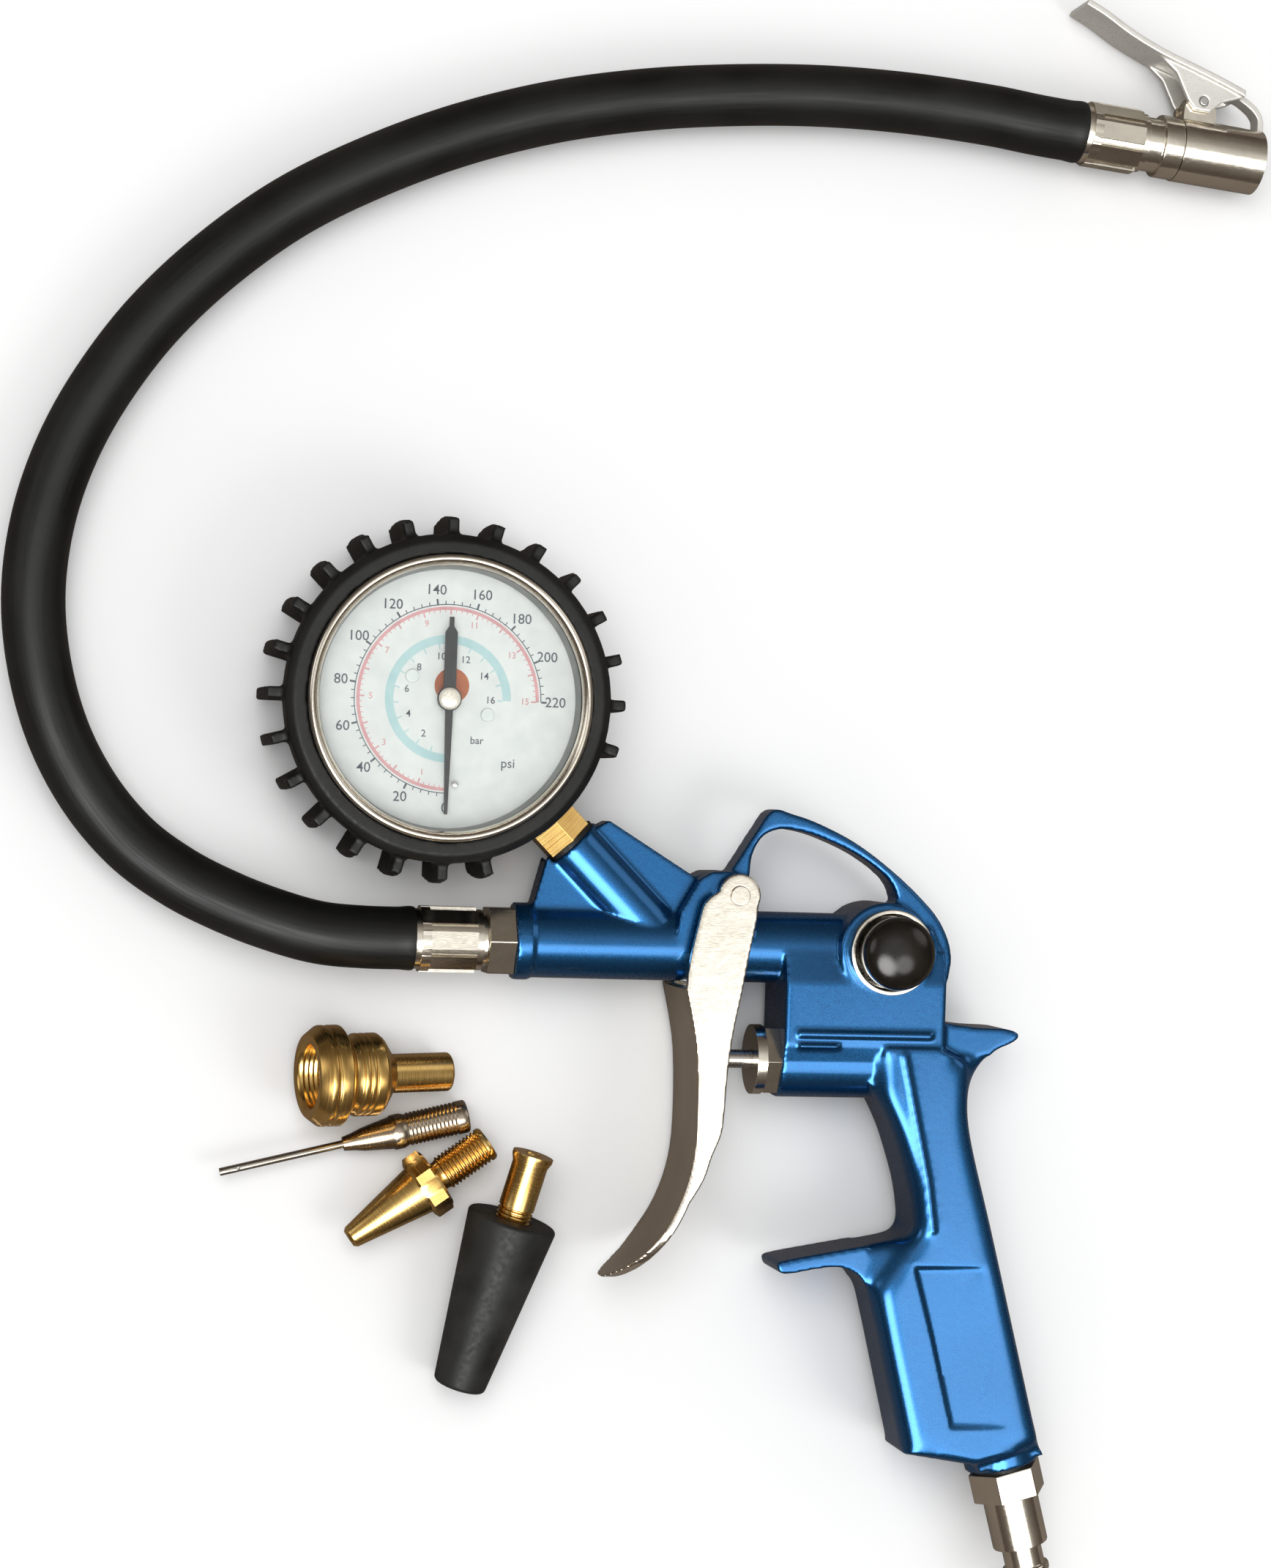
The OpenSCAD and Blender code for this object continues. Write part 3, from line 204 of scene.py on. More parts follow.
def painted(name, dark, light, rough, metallic=0.0):
    """Thin even paint or print with a slight grain."""
    made = Recipe(name, Metallic=metallic)
    grain = made.noise(2400, 2)
    relief = made.bump(grain, 0.004)
    return made.feed(Base_Color=made.blend(made.span(made.noise(300, 4), 0, 1), dark, light),
                     Roughness=made.span(grain, rough - 0.05, rough + 0.05), Normal=relief)


def clear_glass():
    made = Recipe("window_glass", Transmission_Weight=1.0, IOR=1.45, Base_Color=(0.97, 0.985, 0.99, 1))
    smears = made.noise(180, 4)
    return made.feed(Roughness=made.span(smears, 0.0, 0.003))


BRASS = (0.88, 0.60, 0.22)
NICKEL = (0.89, 0.83, 0.72)
FINISH = {
    "blue_paint": blue_paint(),
    "bright_nickel": plated("bright_nickel_plate", NICKEL, 0.10, 0.24),
    "satin_nickel": turned("satin_nickel_turned", (0.60, 0.56, 0.50), (0.973, 0.232, 0), 0.20, 0.36),
    "brass": turned("brass_turned", BRASS, (0, 0, 1)),
    "steel": turned("steel_turned", (0.66, 0.66, 0.67), (1, 0, 0), 0.18, 0.32),
    "black_rubber": rubber("black_rubber_moulded", (0.0035, 0.0035, 0.0032), (0.010, 0.010, 0.0092)),
    "black_button": painted("button_gloss", (0.005, 0.004, 0.003), (0.012, 0.009, 0.006), 0.16),
    "clear_glass": clear_glass(),
    "white_dial": painted("dial_enamel", (0.56, 0.585, 0.56), (0.62, 0.64, 0.61), 0.42),
    "black_needle": painted("needle_enamel", (0.008, 0.008, 0.008), (0.02, 0.02, 0.02), 0.34),
}


# ---- Piece builders ----
def register(piece, body, material, replaced=()):
    """Gives a new piece its finish and the body it rides on, and hides the CAD nodes it stands for."""
    piece.data.materials.clear()
    piece.data.materials.append(material)
    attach(piece, body)
    if replaced:
        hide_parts(*replaced)
    return piece


def new_object(name, mesh):
    made = bpy.data.objects.new(name, mesh)
    bpy.context.scene.collection.objects.link(made)
    return made


def finish_mesh(form, name, sharp_angle=38):
    """Turns a bmesh into an object with smooth faces and sharp edges where the surface turns."""
    bmesh.ops.recalc_face_normals(form, faces=form.faces)
    for face in form.faces:
        face.smooth = True
    for edge in form.edges:
        edge.smooth = len(edge.link_faces) != 2 or edge.calc_face_angle() < math.radians(sharp_angle)
    mesh = bpy.data.meshes.new(name)
    form.to_mesh(mesh)
    form.free()
    return new_object(name, mesh)


def node_form(node):
    """A CAD node's mesh as one welded bmesh with its flat faces joined."""
    form = bmesh.new()
    form.from_mesh(NODES[node].data)
    bmesh.ops.remove_doubles(form, verts=form.verts, dist=0.002 * MM)
    bmesh.ops.dissolve_limit(form, angle_limit=math.radians(0.6), verts=form.verts, edges=form.edges)
    return form


def bevelled(node, width_mm, material=None, turn=30, steps=2):
    """A CAD node with its edges rounded."""
    form = node_form(node)
    bmesh.ops.recalc_face_normals(form, faces=form.faces)
    edges = [e for e in form.edges if len(e.link_faces) == 2 and e.calc_face_angle() > math.radians(turn)]
    bmesh.ops.bevel(form, geom=edges, offset=width_mm * MM, segments=steps, profile=0.5, affect="EDGES",
                    clamp_overlap=True)
    piece = finish_mesh(form, node + "_piece")
    even = piece.modifiers.new("even_shading", "WEIGHTED_NORMAL")
    even.keep_sharp = True
    return register(piece, BODY_OF[node], material or FINISH[SLOT_OF[node]], [node])


# How many times a soft zone is smoothed on top of the rest.
ZONE_ROUNDS = 140


def settle(piece):
    """Replaces a piece's mesh with what its modifiers make of it."""
    ready = piece.evaluated_get(bpy.context.evaluated_depsgraph_get())
    mesh = bpy.data.meshes.new_from_object(ready)
    piece.modifiers.clear()
    piece.data = mesh


def cast(node, voxel_mm, rounds, keep=1.0, material=None, soft_zone=None):
    """A CAD node with all its edges softened, as a casting, moulding or pressing has them."""
    mesh = NODES[node].data.copy()
    mesh.name = node + "_piece"
    piece = new_object(node + "_piece", mesh)
    grid = piece.modifiers.new("even_grid", "REMESH")
    grid.mode = "VOXEL"
    grid.voxel_size = voxel_mm * MM
    grid.use_smooth_shade = True
    if soft_zone:
        settle(piece)
        spots = np.empty(3 * len(piece.data.vertices))
        piece.data.vertices.foreach_get("co", spots)
        group = piece.vertex_groups.new(name="soft_zone")
        for index in np.flatnonzero(soft_zone(spots.reshape(-1, 3) / MM)):
            group.add([int(index)], 1.0, "REPLACE")
        rounder = piece.modifiers.new("rounded_zone", "SMOOTH")
        rounder.factor = 0.5
        rounder.iterations = ZONE_ROUNDS
        rounder.vertex_group = group.name
    soft = piece.modifiers.new("soft_edges", "SMOOTH")
    soft.factor = 0.5
    soft.iterations = rounds
    if keep < 1:
        light = piece.modifiers.new("lighter", "DECIMATE")
        light.ratio = keep
    return register(piece, BODY_OF[node], material or FINISH[SLOT_OF[node]], [node])


def soften(profile, radius, steps=3):
    """Rounds the corners of an open outline of (radius, height) points."""
    soft = [profile[0]]
    for before, corner, after in zip(profile, profile[1:], profile[2:]):
        back = Vector(before) - Vector(corner)
        ahead = Vector(after) - Vector(corner)
        if min(back.length, ahead.length) < 1e-6 or back.angle(ahead) > math.radians(165):
            soft.append(corner)
            continue
        reach = min(radius, back.length * 0.45, ahead.length * 0.45)
        start = Vector(corner) + back.normalized() * reach
        end = Vector(corner) + ahead.normalized() * reach
        for k in range(steps + 1):
            t = k / steps
            point = start * (1 - t) ** 2 + Vector(corner) * 2 * t * (1 - t) + end * t * t
            soft.append((point.x, point.y))
    soft.append(profile[-1])
    return soft


def threads(outer, start, end, pitch=0.9, depth=0.45):
    """The outline of a screw thread between two heights."""
    turns = round(abs(end - start) / pitch)
    step = (end - start) / turns
    rows = []
    for k in range(turns):
        foot = start + k * step
        rows += [(outer - depth, foot + 0.05 * step), (outer - depth, foot + 0.2 * step),
                 (outer, foot + 0.5 * step), (outer, foot + 0.7 * step)]
    return rows


def lathe(name, profile, place, body, material, replaced=(), sides=72):
    """A turned piece: an outline of (radius, height) in millimetres, spun round the Z axis of its place."""
    form = bmesh.new()
    rows = []
    for radius, height in profile:
        if radius < 1e-6:
            rows.append([form.verts.new(place @ Vector((0, 0, height * MM)))])
            continue
        turns = [2 * math.pi * k / sides for k in range(sides)]
        rows.append([form.verts.new(place @ Vector((radius * math.cos(a) * MM, radius * math.sin(a) * MM,
                                                    height * MM))) for a in turns])
    for low, high in zip(rows, rows[1:]):
        for k in range(sides):
            after = k + 1
            corners = list(dict.fromkeys([low[k % len(low)], low[after % len(low)], high[after % len(high)],
                                          high[k % len(high)]]))
            if len(corners) > 2:
                form.faces.new(corners)
    return register(finish_mesh(form, name, 50), body, material, replaced)


def coil(name, place, length, middle_r, wire_r, turns, body, node):
    """A compression spring: wire wound up the Z axis of its place, with closed end turns."""
    count, sides = int(turns * 20), 8
    form = bmesh.new()
    rings = []
    for k in range(count + 1):
        share = k / count
        turn = 2 * math.pi * turns * share
        rise = min(max((share * turns - 0.9) / (turns - 1.8), 0), 1)
        height = wire_r + (length - 2 * wire_r) * rise
        outward = Vector((math.cos(turn), math.sin(turn), 0))
        rings.append([form.verts.new(place @ ((outward * (middle_r + wire_r * math.cos(a))
                                               + Vector((0, 0, height + wire_r * math.sin(a)))) * MM))
                      for a in (2 * math.pi * n / sides for n in range(sides))])
    for low, high in zip(rings, rings[1:]):
        for n in range(sides):
            form.faces.new([low[n], low[(n + 1) % sides], high[(n + 1) % sides], high[n]])
    form.faces.new(rings[0])
    form.faces.new(list(reversed(rings[-1])))
    return register(finish_mesh(form, name), body, FINISH["steel"], [node])


def lying(x, y, z, turn, dip=0.0):
    """The place of a piece that lies with its Z axis along the floor, as the CAD model lays it."""
    return (Matrix.Translation(Vector((x, y, z)) * MM) @ Matrix.Rotation(math.radians(turn), 4, "Z")
            @ Matrix.Rotation(math.radians(90 + dip), 4, "Y"))


def axis_of(place):
    return tuple(place.to_3x3() @ Vector((0, 0, 1)))


# ---- Hose ----
HOSE_R = 6.7
HOSE_ROUTE = [
    (-4, -51, 13), (-14, -51, 13), (-24, -50.3, 12.6), (-34, -47.8, 11.4), (-44, -44.2, 9.8),
    (-54, -39.4, 8.2), (-64, -32.4, 7.1), (-73, -22.2, 6.8), (-80, -9.6, 6.8), (-84.4, 5, 6.8),
    (-86, 20, 6.8), (-84.4, 35.4, 6.8), (-80, 50, 6.8), (-73, 64, 6.8), (-63, 78.4, 6.8), (-50, 92, 6.8),
    (-34.5, 104.4, 6.8), (-17, 114.4, 6.8), (2, 122.8, 6.8), (22, 129.2, 6.8), (42, 133.4, 6.8),
    (62, 136, 6.8), (82, 137.4, 6.8), (102, 137.4, 6.8), (120, 136.2, 7.2), (132, 134.7, 7.7),
    (142, 133.8, 7.7)]
CHUCK_TURN = math.radians(-5)


def smooth_line(points, steps):
    """A Catmull-Rom curve through the points, with a few steps in each span."""
    spots = [Vector(p) for p in points]
    line = []
    for i in range(len(spots) - 1):
        a, b = spots[max(i - 1, 0)], spots[i]
        c, d = spots[i + 1], spots[min(i + 2, len(spots) - 1)]
        for k in range(steps):
            t = k / steps
            line.append(0.5 * (2 * b + (c - a) * t + (2 * a - 5 * b + 4 * c - d) * t * t
                               + (3 * b - a - 3 * c + d) * t ** 3))
    line.append(spots[-1])
    return line


def add_hose():
    """The hose as a tube with a swollen lip where each ferrule grips it."""
    sides = 40
    line = smooth_line(HOSE_ROUTE, 8)
    run = [0.0]
    for a, b in zip(line, line[1:]):
        run.append(run[-1] + (b - a).length)
    form = bmesh.new()
    uv = form.loops.layers.uv.new("hose_map")
    rings = []
    for i, spot in enumerate(line):
        ahead = (line[min(i + 1, len(line) - 1)] - line[max(i - 1, 0)]).normalized()
        if i == 0:
            ahead = Vector((-1, 0, 0))
        if i == len(line) - 1:
            ahead = Vector((math.cos(CHUCK_TURN), math.sin(CHUCK_TURN), 0))
        side = Vector((0, 0, 1)).cross(ahead).normalized()
        over = ahead.cross(side)
        near_end = min(run[i], run[-1] - run[i])
        radius = HOSE_R + 0.22 * math.exp(-((near_end - 1.0) / 1.1) ** 2)
        rings.append([form.verts.new((spot + radius * (math.cos(a) * side + math.sin(a) * over)) * MM)
                      for a in (2 * math.pi * (k + 0.5) / sides for k in range(sides))])
    for i in range(len(rings) - 1):
        for k in range(sides):
            face = form.faces.new([rings[i][k], rings[i + 1][k], rings[i + 1][(k + 1) % sides],
                                   rings[i][(k + 1) % sides]])
            for loop, (row, turn) in zip(face.loops, ((i, k), (i + 1, k), (i + 1, k + 1), (i, k + 1))):
                loop[uv].uv = (turn * 2 * math.pi * HOSE_R * MM / sides, run[row] * MM)
    form.faces.new(rings[0])
    form.faces.new(list(reversed(rings[-1])))
    hose = register(finish_mesh(form, "hose_piece"), "gun", hose_rubber(), ["hose"])
    return hose, [tuple(p * MM) for p in line], run[-1] * MM


add_camera()
hose, hose_path, hose_length = add_hose()


# ---- Gun ----
GRIP_LINES = [
    (121, -119.4), (107.2, -119.4), (111.4, -134), (116.8, -154.6), (127, -154.6)]
GRIP_RIDGE = [(103.2, -73), (109.6, -101), (111.2, -112)]


def near_line(spots, line, reach):
    """Which points lie within reach of a line, seen from the gun's side."""
    near = np.zeros(len(spots), bool)
    for a, b in zip(line, line[1:]):
        start, run = np.array(a), np.subtract(b, a)
        share = np.clip((spots[:, :2] - start) @ run / (run @ run), 0, 1)
        near |= np.hypot(*(spots[:, :2] - start - share[:, None] * run).T) < reach
    return near


def grip_edges(spots):
    """The long edges of the grip, which the hand feels as round, without its panel's lines and its ridge."""
    outer = np.abs(spots[:, 2] - GUN_Z) > 5.4
    grip = (spots[:, 1] < -73.5) & (spots[:, 1] > -160) & (spots[:, 0] > 97)
    return outer & grip & ~near_line(spots, GRIP_LINES, 1.6) & ~near_line(spots, GRIP_RIDGE, 1.3)


def add_gun():
    cast("body_casting", 0.45, 5, keep=0.4, soft_zone=grip_edges)
    cast("trigger_lever", 0.30, 4, keep=0.6)
    for node, width in (("trigger_pin", 0.25), ("gland_nut", 0.30), ("valve_stem", 0.25),
                        ("bleed_collar", 0.35), ("inlet_plug", 0.35), ("hose_fitting", 0.35),
                        ("hose_ferrule", 0.30)):
        bevelled(node, width)
    button_base = 26.8
    dome = [(0, 2.2), (5.2, 2.2), (5.2, 0), (7.2, 0), (7.6, 0.4), (7.9, 2.0), (7.9, 4.5)]
    dome += [(7.9 * math.cos(a), 4.5 + 3.7 * math.sin(a)) for a in (math.radians(d) for d in range(8, 90, 6))]
    dome += [(0, 8.2)]
    stem = [(0, -12.4), (1.5, -12.4), (1.5, 2.2)]
    place = Matrix.Translation(Vector((BUTTON_X, BUTTON_Y, button_base)) * MM)
    lathe("bleed_button_piece", stem + dome[1:], place, "bleed", FINISH["black_button"],
          ["bleed_button"])


def add_springs():
    """The valve and bleed springs, each wound to the length of its CAD part."""
    low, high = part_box("valve_spring")
    level = Matrix.Translation(Vector((low[0], (low[1] + high[1]) / 2, GUN_Z * MM))) @ Matrix.Rotation(
        math.radians(90), 4, "Y")
    length = (high[0] - low[0]) / MM
    spring = coil("valve_spring_coil", level, length, 3.2, 0.4, 7, "gun", "valve_spring")
    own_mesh(spring)
    low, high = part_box("bleed_spring")
    upright = Matrix.Translation(Vector(((low[0] + high[0]) / 2, (low[1] + high[1]) / 2, low[2])))
    length = (high[2] - low[2]) / MM
    spring = coil("bleed_spring_coil", upright, length, 4.2, 0.35, 5, "gun", "bleed_spring")
    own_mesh(spring)


# ---- Chuck ----
def add_chuck():
    ferrule = bevelled("chuck_ferrule", 0.30)
    stem = bevelled("chuck_stem", 0.30)
    head = bevelled("chuck_body", 0.35)
    lever = cast("chuck_lever", 0.22, 3, keep=0.6,
                 material=plated("zinc_plate", (0.80, 0.78, 0.73), 0.26, 0.42, 0.5))
    pin = bevelled("chuck_pin", 0.2)
    return [ferrule, stem, head, lever, pin]


# ---- Gauge ----
def flat_print(name, outlines, height_mm, material):
    """Printed marks on the dial: closed outlines of (x, y) millimetre points, laid just above its face."""
    form = bmesh.new()
    for outline in outlines:
        form.faces.new([form.verts.new((x * MM, y * MM, (DIAL_Z + height_mm) * MM)) for x, y in outline])
    return register(finish_mesh(form, name), "gun", material)


def spot(radius, degrees):
    """A point on the dial; 0 degrees is the scale's zero at the foot, and it counts clockwise."""
    angle = math.radians(-90 - degrees)
    return radius * math.cos(angle), radius * math.sin(angle)


def arc(inner, outer, start, end, step=1.5):
    """One band as small quads, so that each face stays flat and convex."""
    count = max(1, round((end - start) / step))
    turns = [start + (end - start) * k / count for k in range(count + 1)]
    return [[spot(inner, a), spot(outer, a), spot(outer, b), spot(inner, b)]
            for a, b in zip(turns, turns[1:])]


def tick(inner, outer, degrees, width):
    """A radial mark of even width."""
    x, y = spot(1, degrees)
    across = (-y * width / 2, x * width / 2)
    return [(x * r + s * across[0], y * r + s * across[1]) for r, s in
            ((inner, -1), (outer, -1), (outer, 1), (inner, 1))]


def lettering(name, words, material, height_mm=0.03):
    """Numbers on the dial: (text, x, y, size) in millimetres, as one flat mesh."""
    form = bmesh.new()
    for text, x, y, size in words:
        curve = bpy.data.curves.new(name, "FONT")
        curve.body = text
        curve.size = size * MM
        curve.align_x = "CENTER"
        curve.align_y = "CENTER"
        curve.resolution_u = 3
        curve.offset = 0.02 * MM
        holder = new_object(name + "_text", curve)
        mesh = bpy.data.meshes.new_from_object(holder)
        mesh.transform(Matrix.Translation(Vector((x, y, DIAL_Z + height_mm)) * MM))
        form.from_mesh(mesh)
        bpy.data.objects.remove(holder)
        bpy.data.curves.remove(curve)
        bpy.data.meshes.remove(mesh)
    return register(finish_mesh(form, name), "gun", material)


SCALE_SWEEP = 270.0
OUTER_STEPS, MIDDLE_STEPS, INNER_STEPS = 11, 15, 16


def add_dial():
    """Three scales: dark numbers outside, a pink one in the middle and a teal one inside."""
    dark = painted("print_dark", (0.045, 0.055, 0.070), (0.070, 0.080, 0.100), 0.5)
    pink = painted("print_pink", (0.50, 0.24, 0.25), (0.58, 0.31, 0.31), 0.5)
    teal = painted("print_teal", (0.32, 0.49, 0.49), (0.39, 0.55, 0.54), 0.5)
    copper = painted("copper_patch", (0.32, 0.085, 0.035), (0.42, 0.14, 0.06), 0.35, 0.5)
    outer = arc(19.75, 19.95, 0, SCALE_SWEEP)
    outer += [tick(19.95, 21.1, k * SCALE_SWEEP / OUTER_STEPS, 0.42) for k in range(OUTER_STEPS + 1)]
    outer += [tick(19.95, 20.6, k * SCALE_SWEEP / (5 * OUTER_STEPS), 0.2) for k in range(5 * OUTER_STEPS)
              if k % 5]
    flat_print("dial_outer_marks", outer, 0.02, dark)
    lettering("dial_outer_numbers", [(str(20 * k), *spot(23.0, k * SCALE_SWEEP / OUTER_STEPS), 3.0)
                                     for k in range(OUTER_STEPS + 1)], dark)
    middle = arc(18.7, 19.4, 0, SCALE_SWEEP)
    middle += [tick(17.7, 18.7, k * SCALE_SWEEP / MIDDLE_STEPS, 0.34) for k in range(MIDDLE_STEPS + 1)]
    middle += [tick(18.2, 18.7, k * SCALE_SWEEP / (5 * MIDDLE_STEPS), 0.18) for k in range(5 * MIDDLE_STEPS)
               if k % 5]
    flat_print("dial_middle_marks", middle, 0.02, pink)
    lettering("dial_middle_numbers", [(str(k), *spot(16.4, k * SCALE_SWEEP / MIDDLE_STEPS), 1.9)
                                      for k in range(1, MIDDLE_STEPS + 1, 2)], pink)
    flat_print("dial_inner_marks", arc(11.6, 13.4, 0, SCALE_SWEEP)
               + [tick(10.5, 11.6, k * SCALE_SWEEP / INNER_STEPS, 0.3) for k in range(INNER_STEPS + 1)], 0.02,
               teal)
    lettering("dial_inner_numbers", [(str(k), *spot(9.0, k * SCALE_SWEEP / INNER_STEPS), 2.1)
                                     for k in range(0, INNER_STEPS + 1, 2)], dark)
    lettering("dial_units", [("psi", 13.2, -13.2, 2.8), ("bar", 6.4, -8.6, 2.2)], dark)
    # A copper-brown disc round the needle's pivot, set to the upper right of the hub.
    flat_print("dial_centre_patch", [[(0.7 + 3.7 * math.cos(a), 2.8 + 3.7 * math.sin(a))
                                      for a in (2 * math.pi * k / 48 for k in range(48))]], 0.045,
               copper)


def add_gauge():
    cast("gauge_boot", 0.5, 4, keep=0.55)
    bevelled("gauge_socket", 0.25, turned("brass_stem", BRASS, (0.7071, -0.7071, 0)))
    identity = Matrix.Identity(4)
    rim = [(29.3, 23.8), (30.1, 23.8), (30.1, 30.2), (29.9, 30.9), (29.4, BEZEL_FRONT_Z), (28.9, 31.15),
           (28.3, 30.6), (27.75, 29.7), (29.3, 29.7), (29.3, 23.8)]
    lathe("gauge_bezel_piece", soften(rim, 0.25), identity, "gun", FINISH["bright_nickel"],
          ["gauge_bezel"], 128)
    # A ring wall round the dial's edge; its dark grey is partly its own grey and partly painted shade of the
    # zone under the bezel.
    ring = [(28.3, DIAL_Z + 0.03), (27.3, DIAL_Z + 0.03), (27.2, DIAL_Z + 0.5), (27.9, 28.0), (28.3, 28.0),
            (28.3, DIAL_Z + 0.03)]
    lathe("dial_surround", soften(ring, 0.12), identity, "gun",
          painted("surround_grey_and_painted_shade", (0.15, 0.155, 0.15), (0.22, 0.225, 0.21), 0.35, 0.5), (), 128)
    bevelled("gauge_needle", 0.10)
    hub = [(0, 26.4), (2.3, 26.4), (2.3, 26.9), (1.9, 27.4), (1.0, 27.58), (0, 27.6)]
    collar = [(0, 25.0), (1.3, 25.0), (1.3, 26.4)]
    lathe("needle_hub_piece", soften(collar + hub[1:], 0.15), identity, "needle",
          painted("hub_cream", (0.72, 0.66, 0.55), (0.82, 0.77, 0.66), 0.30, 0.4), ["needle_hub"])
    enamel = painted("screw_enamel", (0.54, 0.58, 0.56), (0.60, 0.64, 0.61), 0.36)
    bevelled("dial_screws", 0.12, enamel)
    bevelled("needle_stop", 0.12)
    low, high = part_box("gauge_lens")
    lens_r = (high[0] - low[0]) / 2 / MM
    pane = [(0, low[2] / MM), (lens_r - 0.5, low[2] / MM), (lens_r, low[2] / MM), (lens_r, high[2] / MM),
            (lens_r - 0.5, high[2] / MM), (0, high[2] / MM)]
    lens = lathe("gauge_lens_piece", soften(pane, 0.15), identity, "gun",
                 FINISH["clear_glass"], ["gauge_lens"], 128)
    lens.visible_shadow = False
    add_dial()


# ---- Adapters ----
def add_coupling():
    """The brass coupling: a grooved head with a threaded mouth, a neck and a tube."""
    dip = math.degrees(math.atan(1.9 / 8.4))
    lift = 6.8 * math.sin(math.radians(dip)) + 10.8 * math.cos(math.radians(dip)) + 0.02
    place = lying(-25.4, -80.9, lift, 1.6, dip)
    brass = turned("brass_coupling", BRASS, axis_of(place))
    mouth = [(1.65, 8.7)] + threads(6.55, 8.4, 0.9, 1.05, -0.42)
    outer = [(7.0, 0.3), (7.6, 0.0), (9.0, 0.0), (10.8, 2.4), (10.8, 3.4), (10.5, 3.7), (10.5, 4.1),
             (10.8, 4.4), (10.8, 6.8), (8.4, 8.4), (8.4, 9.8), (8.9, 10.3), (8.9, 11.2), (8.55, 11.5),
             (8.9, 11.8), (8.9, 12.6), (8.55, 12.9), (8.9, 13.2), (8.9, 15.2), (8.1, 16.2), (4.2, 18.8),
             (4.2, 31.8), (3.9, 32.2), (1.9, 32.2), (1.6, 31.8), (1.6, 19.2), (1.65, 8.7)]
    lathe("coupling_piece", mouth + soften(outer, 0.25), place, "coupling_adapter", brass,
          ["coupling_body"], 96)


def add_ball_needle():
    dip = math.degrees(math.atan(0.2 / 14.6))
    lift = 40 * math.sin(math.radians(dip)) + 3.8 * math.cos(math.radians(dip)) + 0.02
    place = lying(-42.5, -102.3, lift, 13.4, dip)
    dark = turned("hub_dark_nickel", (0.50, 0.43, 0.35), axis_of(place), 0.14, 0.30)
    outline = [(0.9, 27.0), (1.5, 27.0), (1.9, 29.2), (2.5, 31.4), (3.5, 37.6), (3.8, 38.0), (3.8, 40.0),
               (3.6, 40.4)]
    outline += threads(3.6, 41.2, 52.6, 0.9, 0.28) + [(3.6, 53.0), (3.6, 54.3), (3.3, 54.6), (1.7, 54.6),
                                                      (1.5, 54.3), (1.5, 39.0)]
    lathe("ball_needle_hub_piece", outline, place, "ball_adapter", dark, ["ball_needle_hub"])
    bevelled("ball_needle_tube", 0.1, turned("needle_steel", (0.52, 0.49, 0.45), axis_of(place), 0.14, 0.26))


def add_nozzle():
    """The brass nozzle: a taper, a bevelled hexagon and a threaded end."""
    place = lying(-14.6, -116.1, 6.52, 35.5)
    brass = turned("brass_nozzle", BRASS, axis_of(place))
    taper = [(1.4, 0.4), (1.6, 0.0), (1.9, 0.0), (2.5, 0.7), (5.55, 18.2), (5.6, 19.2)]
    lathe("nozzle_taper", soften(taper, 0.2), place, "nozzle_adapter", brass, ["taper_nozzle"])
    lathe("nozzle_thread", [(3.0, 22.4), (3.3, 22.9), (3.3, 23.9)] + threads(3.9, 24.3, 35.5)
          + [(3.9, 35.8), (3.5, 36.3), (1.7, 36.3), (1.4, 36.0), (1.4, 30)], place, "nozzle_adapter",
          brass, ["taper_nozzle"])
    form = bmesh.new()
    corner_r = 13 / math.sqrt(3)
    rows = []
    for radius, height in ((5.0, 18.2), (6.35, 18.2), (corner_r, 18.75), (corner_r, 22.35), (6.35, 22.9),
                           (3.0, 22.9)):
        ring = []
        for k in range(72):
            angle = math.radians(30 + 5 * k)
            edge = 6.5 / math.cos((angle + math.pi / 6) % (math.pi / 3) - math.pi / 6)
            reach = min(radius, edge)
            corner = Vector((reach * math.cos(angle) * MM, reach * math.sin(angle) * MM, height * MM))
            ring.append(form.verts.new(place @ corner))
        rows.append(ring)
    for low, high in zip(rows, rows[1:]):
        for k in range(72):
            form.faces.new([low[k], low[(k + 1) % 72], high[(k + 1) % 72], high[k]])
    register(finish_mesh(form, "nozzle_hexagon", 25), "nozzle_adapter", brass, ["taper_nozzle"])


def add_cone():
    dip = math.degrees(math.atan((5.7 - 9.9) / 38.4))
    place = lying(10.5, -147.9, 5.7 * math.cos(math.radians(dip)) + 0.02, 75, dip)
    brass = turned("brass_cone_tube", BRASS, axis_of(place))
    outline = [(3.4, 20.0), (3.5, 37.0), (3.9, 37.2)] + threads(3.9, 37.6, 41.4)
    outline += [(3.9, 41.6), (3.9, 50.6), (4.5, 52.2), (4.5, 53.0), (4.2, 53.0), (1.9, 53.0), (1.6, 52.6),
                (1.6, 40.0)]
    lathe("cone_tube_piece", outline, place, "cone_adapter", brass, ["cone_tube"])
    cone = [(1.8, 1.0), (2.2, 0), (5.2, 0), (5.75, 0.6), (9.85, 37.8), (9.4, 38.4), (4.4, 38.4), (3.95, 38.0),
            (3.95, 30)]
    dusty = rubber("cone_rubber", (0.005, 0.005, 0.0047), (0.024, 0.024, 0.022), 0.50, 900)
    lathe("rubber_cone_piece", soften(cone, 0.4), place, "cone_adapter", dusty,
          ["rubber_cone"], 96)


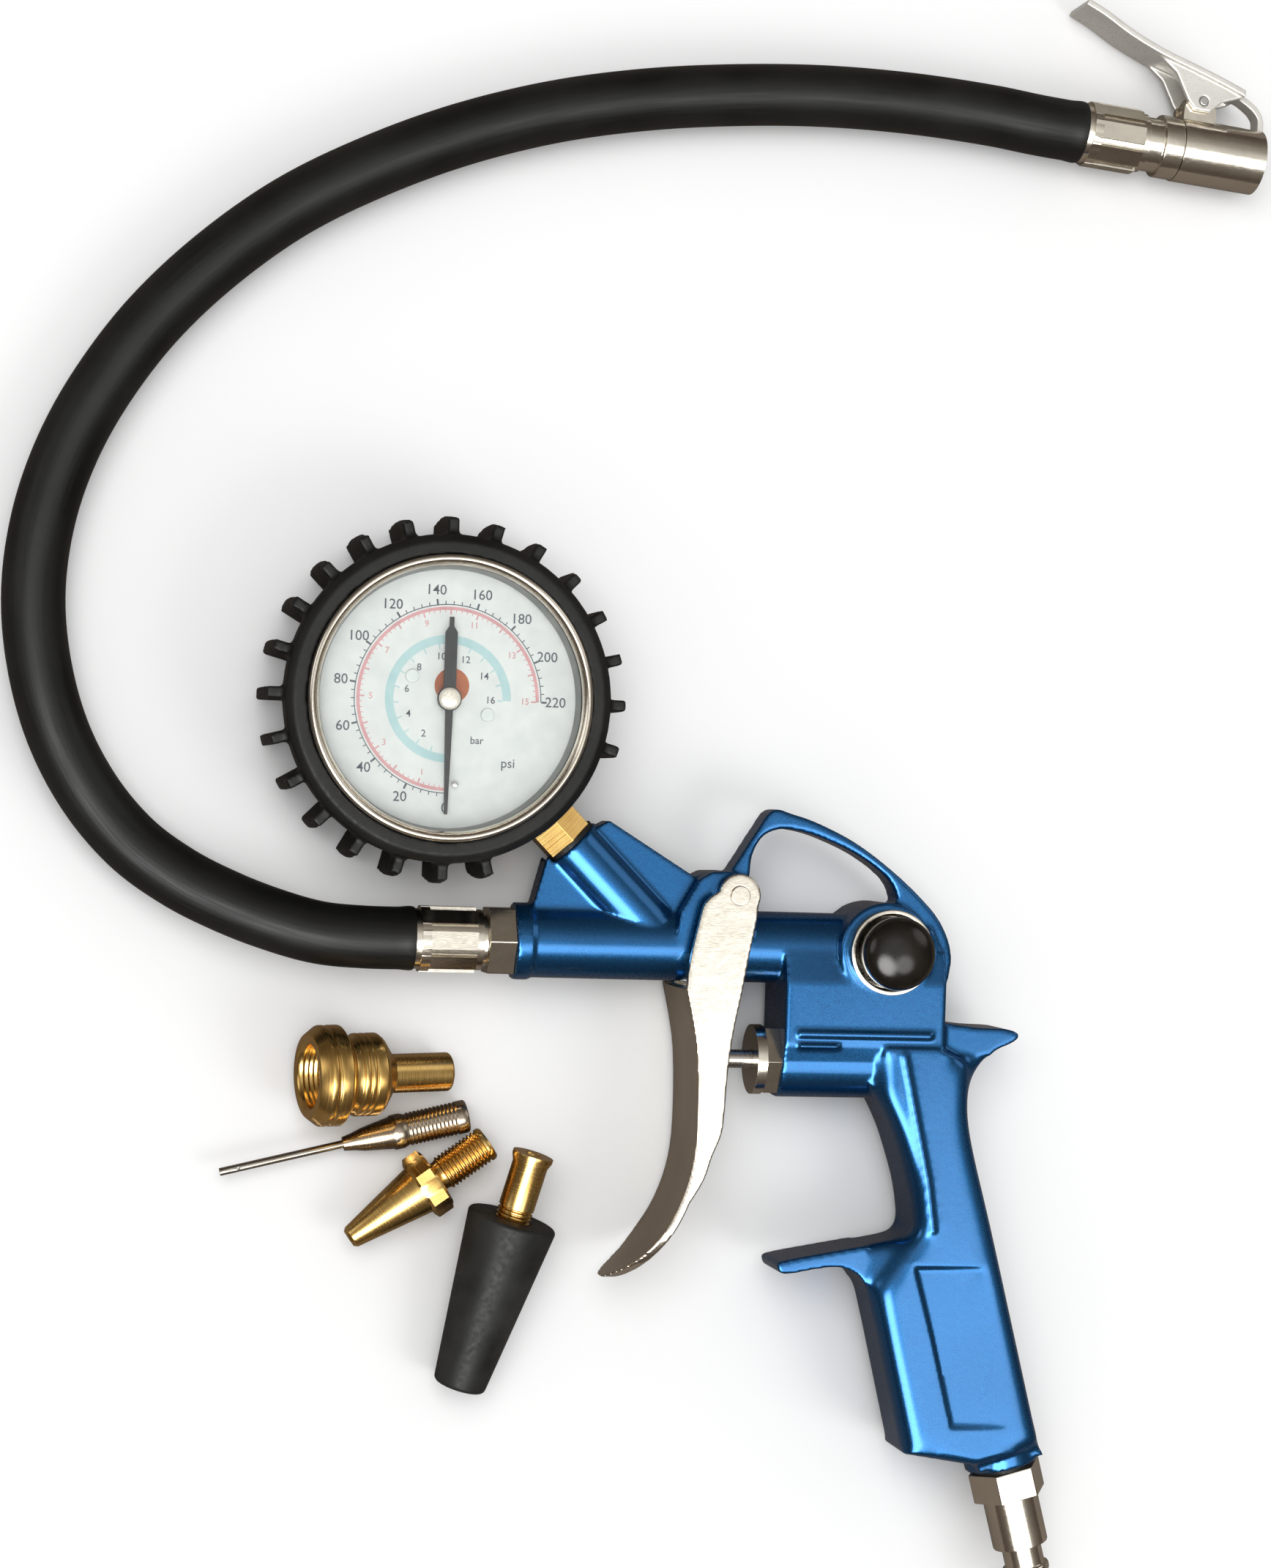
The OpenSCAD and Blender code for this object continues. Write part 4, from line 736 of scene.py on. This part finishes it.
# ---- Stage ----
def add_floor():
    """A large pale floor; in the metal's reflections it turns dark brown, a painted reflection that darkens the
    metal's sides.
    """
    form = bmesh.new()
    bmesh.ops.create_circle(form, cap_ends=True, segments=96, radius=9)
    floor = finish_mesh(form, "floor")
    made = Recipe("floor_paper", Specular_IOR_Level=0.1, Roughness=0.9)
    # Painted reflection: glossy rays see the floor as dark brown instead of pale, so metal facing it reads
    # darker.
    mirrored = made.node("LightPath").outputs["Is Glossy Ray"]
    paper = made.blend(made.span(made.noise(6, 3), 0, 1), (0.86, 0.86, 0.86), (0.89, 0.89, 0.885))
    made.feed(Base_Color=made.blend(mirrored, paper, (0.16, 0.135, 0.115)))
    floor.data.materials.append(made.material)


def add_world():
    """Even light all round, and for the metal a dim brown studio with a few bright soft panels."""
    world = bpy.data.worlds.new("studio")
    bpy.context.scene.world = world
    world.use_nodes = True
    tree = world.node_tree

    def node(kind, inputs, **settings):
        made = tree.nodes.new("ShaderNode" + kind)
        for key, value in settings.items():
            setattr(made, key, value)
        for socket, value in inputs.items():
            if isinstance(value, bpy.types.NodeSocket):
                tree.links.new(value, made.inputs[socket])
            else:
                made.inputs[socket].default_value = value
        return made

    towards = tree.nodes.new("ShaderNodeTexCoord").outputs["Generated"]
    height = node("SeparateXYZ", {0: towards}).outputs["Z"]
    ramp = node("ValToRGB", {0: height})
    stops = ((0.0, (0.07, 0.052, 0.042)), (0.30, (0.10, 0.08, 0.066)), (0.62, (0.17, 0.15, 0.13)),
             (0.84, (0.36, 0.34, 0.31)), (0.94, (0.76, 0.75, 0.73)), (1.0, (0.84, 0.84, 0.83)))
    while len(ramp.color_ramp.elements) < len(stops):
        ramp.color_ramp.elements.new(0.5)
    for element, (place, colour) in zip(ramp.color_ramp.elements, stops):
        element.position = place
        element.color = (*colour, 1)
    studio = ramp.outputs[0]
    for aim, wide, edge, power in (((0.30, -0.32, 0.89), 9, 9, 2.8), ((-0.25, -0.41, 0.87), 9, 15, 8.5),
                                   ((-0.85, 0.25, 0.45), 7, 12, 1.2), ((0.75, 0.45, 0.48), 8, 12, 0.9)):
        reach = node("VectorMath", {0: towards, 1: Vector(aim).normalized()}, operation="DOT_PRODUCT")
        fade, full = math.cos(math.radians(wide + edge)), math.cos(math.radians(wide))
        panel = node("MapRange", {"Value": reach.outputs["Value"], "From Min": fade, "From Max": full,
                                  "To Max": power}, interpolation_type="SMOOTHSTEP")
        studio = node("VectorMath", {0: studio, 1: panel.outputs[0]}, operation="ADD").outputs[0]
    rays = tree.nodes.new("ShaderNodeLightPath")
    mirrored = node("Mix", {0: rays.outputs["Is Glossy Ray"], 7: studio}, data_type="RGBA")
    mirrored.inputs[6].default_value = (0.64, 0.64, 0.64, 1)
    seen = node("Mix", {0: rays.outputs["Is Camera Ray"], 6: mirrored.outputs[2]}, data_type="RGBA")
    seen.inputs[7].default_value = (0.94, 0.94, 0.94, 1)
    tree.links.new(seen.outputs[2], tree.nodes["Background"].inputs[0])


def add_lamps():
    for name, place, aim, size, power in (
            ("lamp_over", (-0.25, 0.25, 1.15), (0.03, -0.01, 0), 0.9, 7.6),
            ("lamp_side", (0.75, -0.55, 0.75), (0.05, -0.05, 0), 0.5, 3.0)):
        data = bpy.data.lights.new(name, "AREA")
        data.size = size
        data.energy = power
        lamp = bpy.data.objects.new(name, data)
        lamp.location = place
        lamp.rotation_mode = "QUATERNION"
        lamp.rotation_quaternion = (Vector(aim) - Vector(place)).to_track_quat("-Z", "Y")
        lamp.visible_camera = False
        lamp.visible_glossy = False
        lamp.visible_transmission = False
        bpy.context.scene.collection.objects.link(lamp)
    bpy.context.scene.view_settings.view_transform = "Standard"


for node, slot in SLOT_OF.items():
    NODES[node].data.materials.clear()
    NODES[node].data.materials.append(FINISH[slot])
add_gun()
add_springs()
chuck_pieces = add_chuck()
add_gauge()
add_coupling()
add_ball_needle()
add_nozzle()
add_cone()
add_floor()
add_world()
add_lamps()
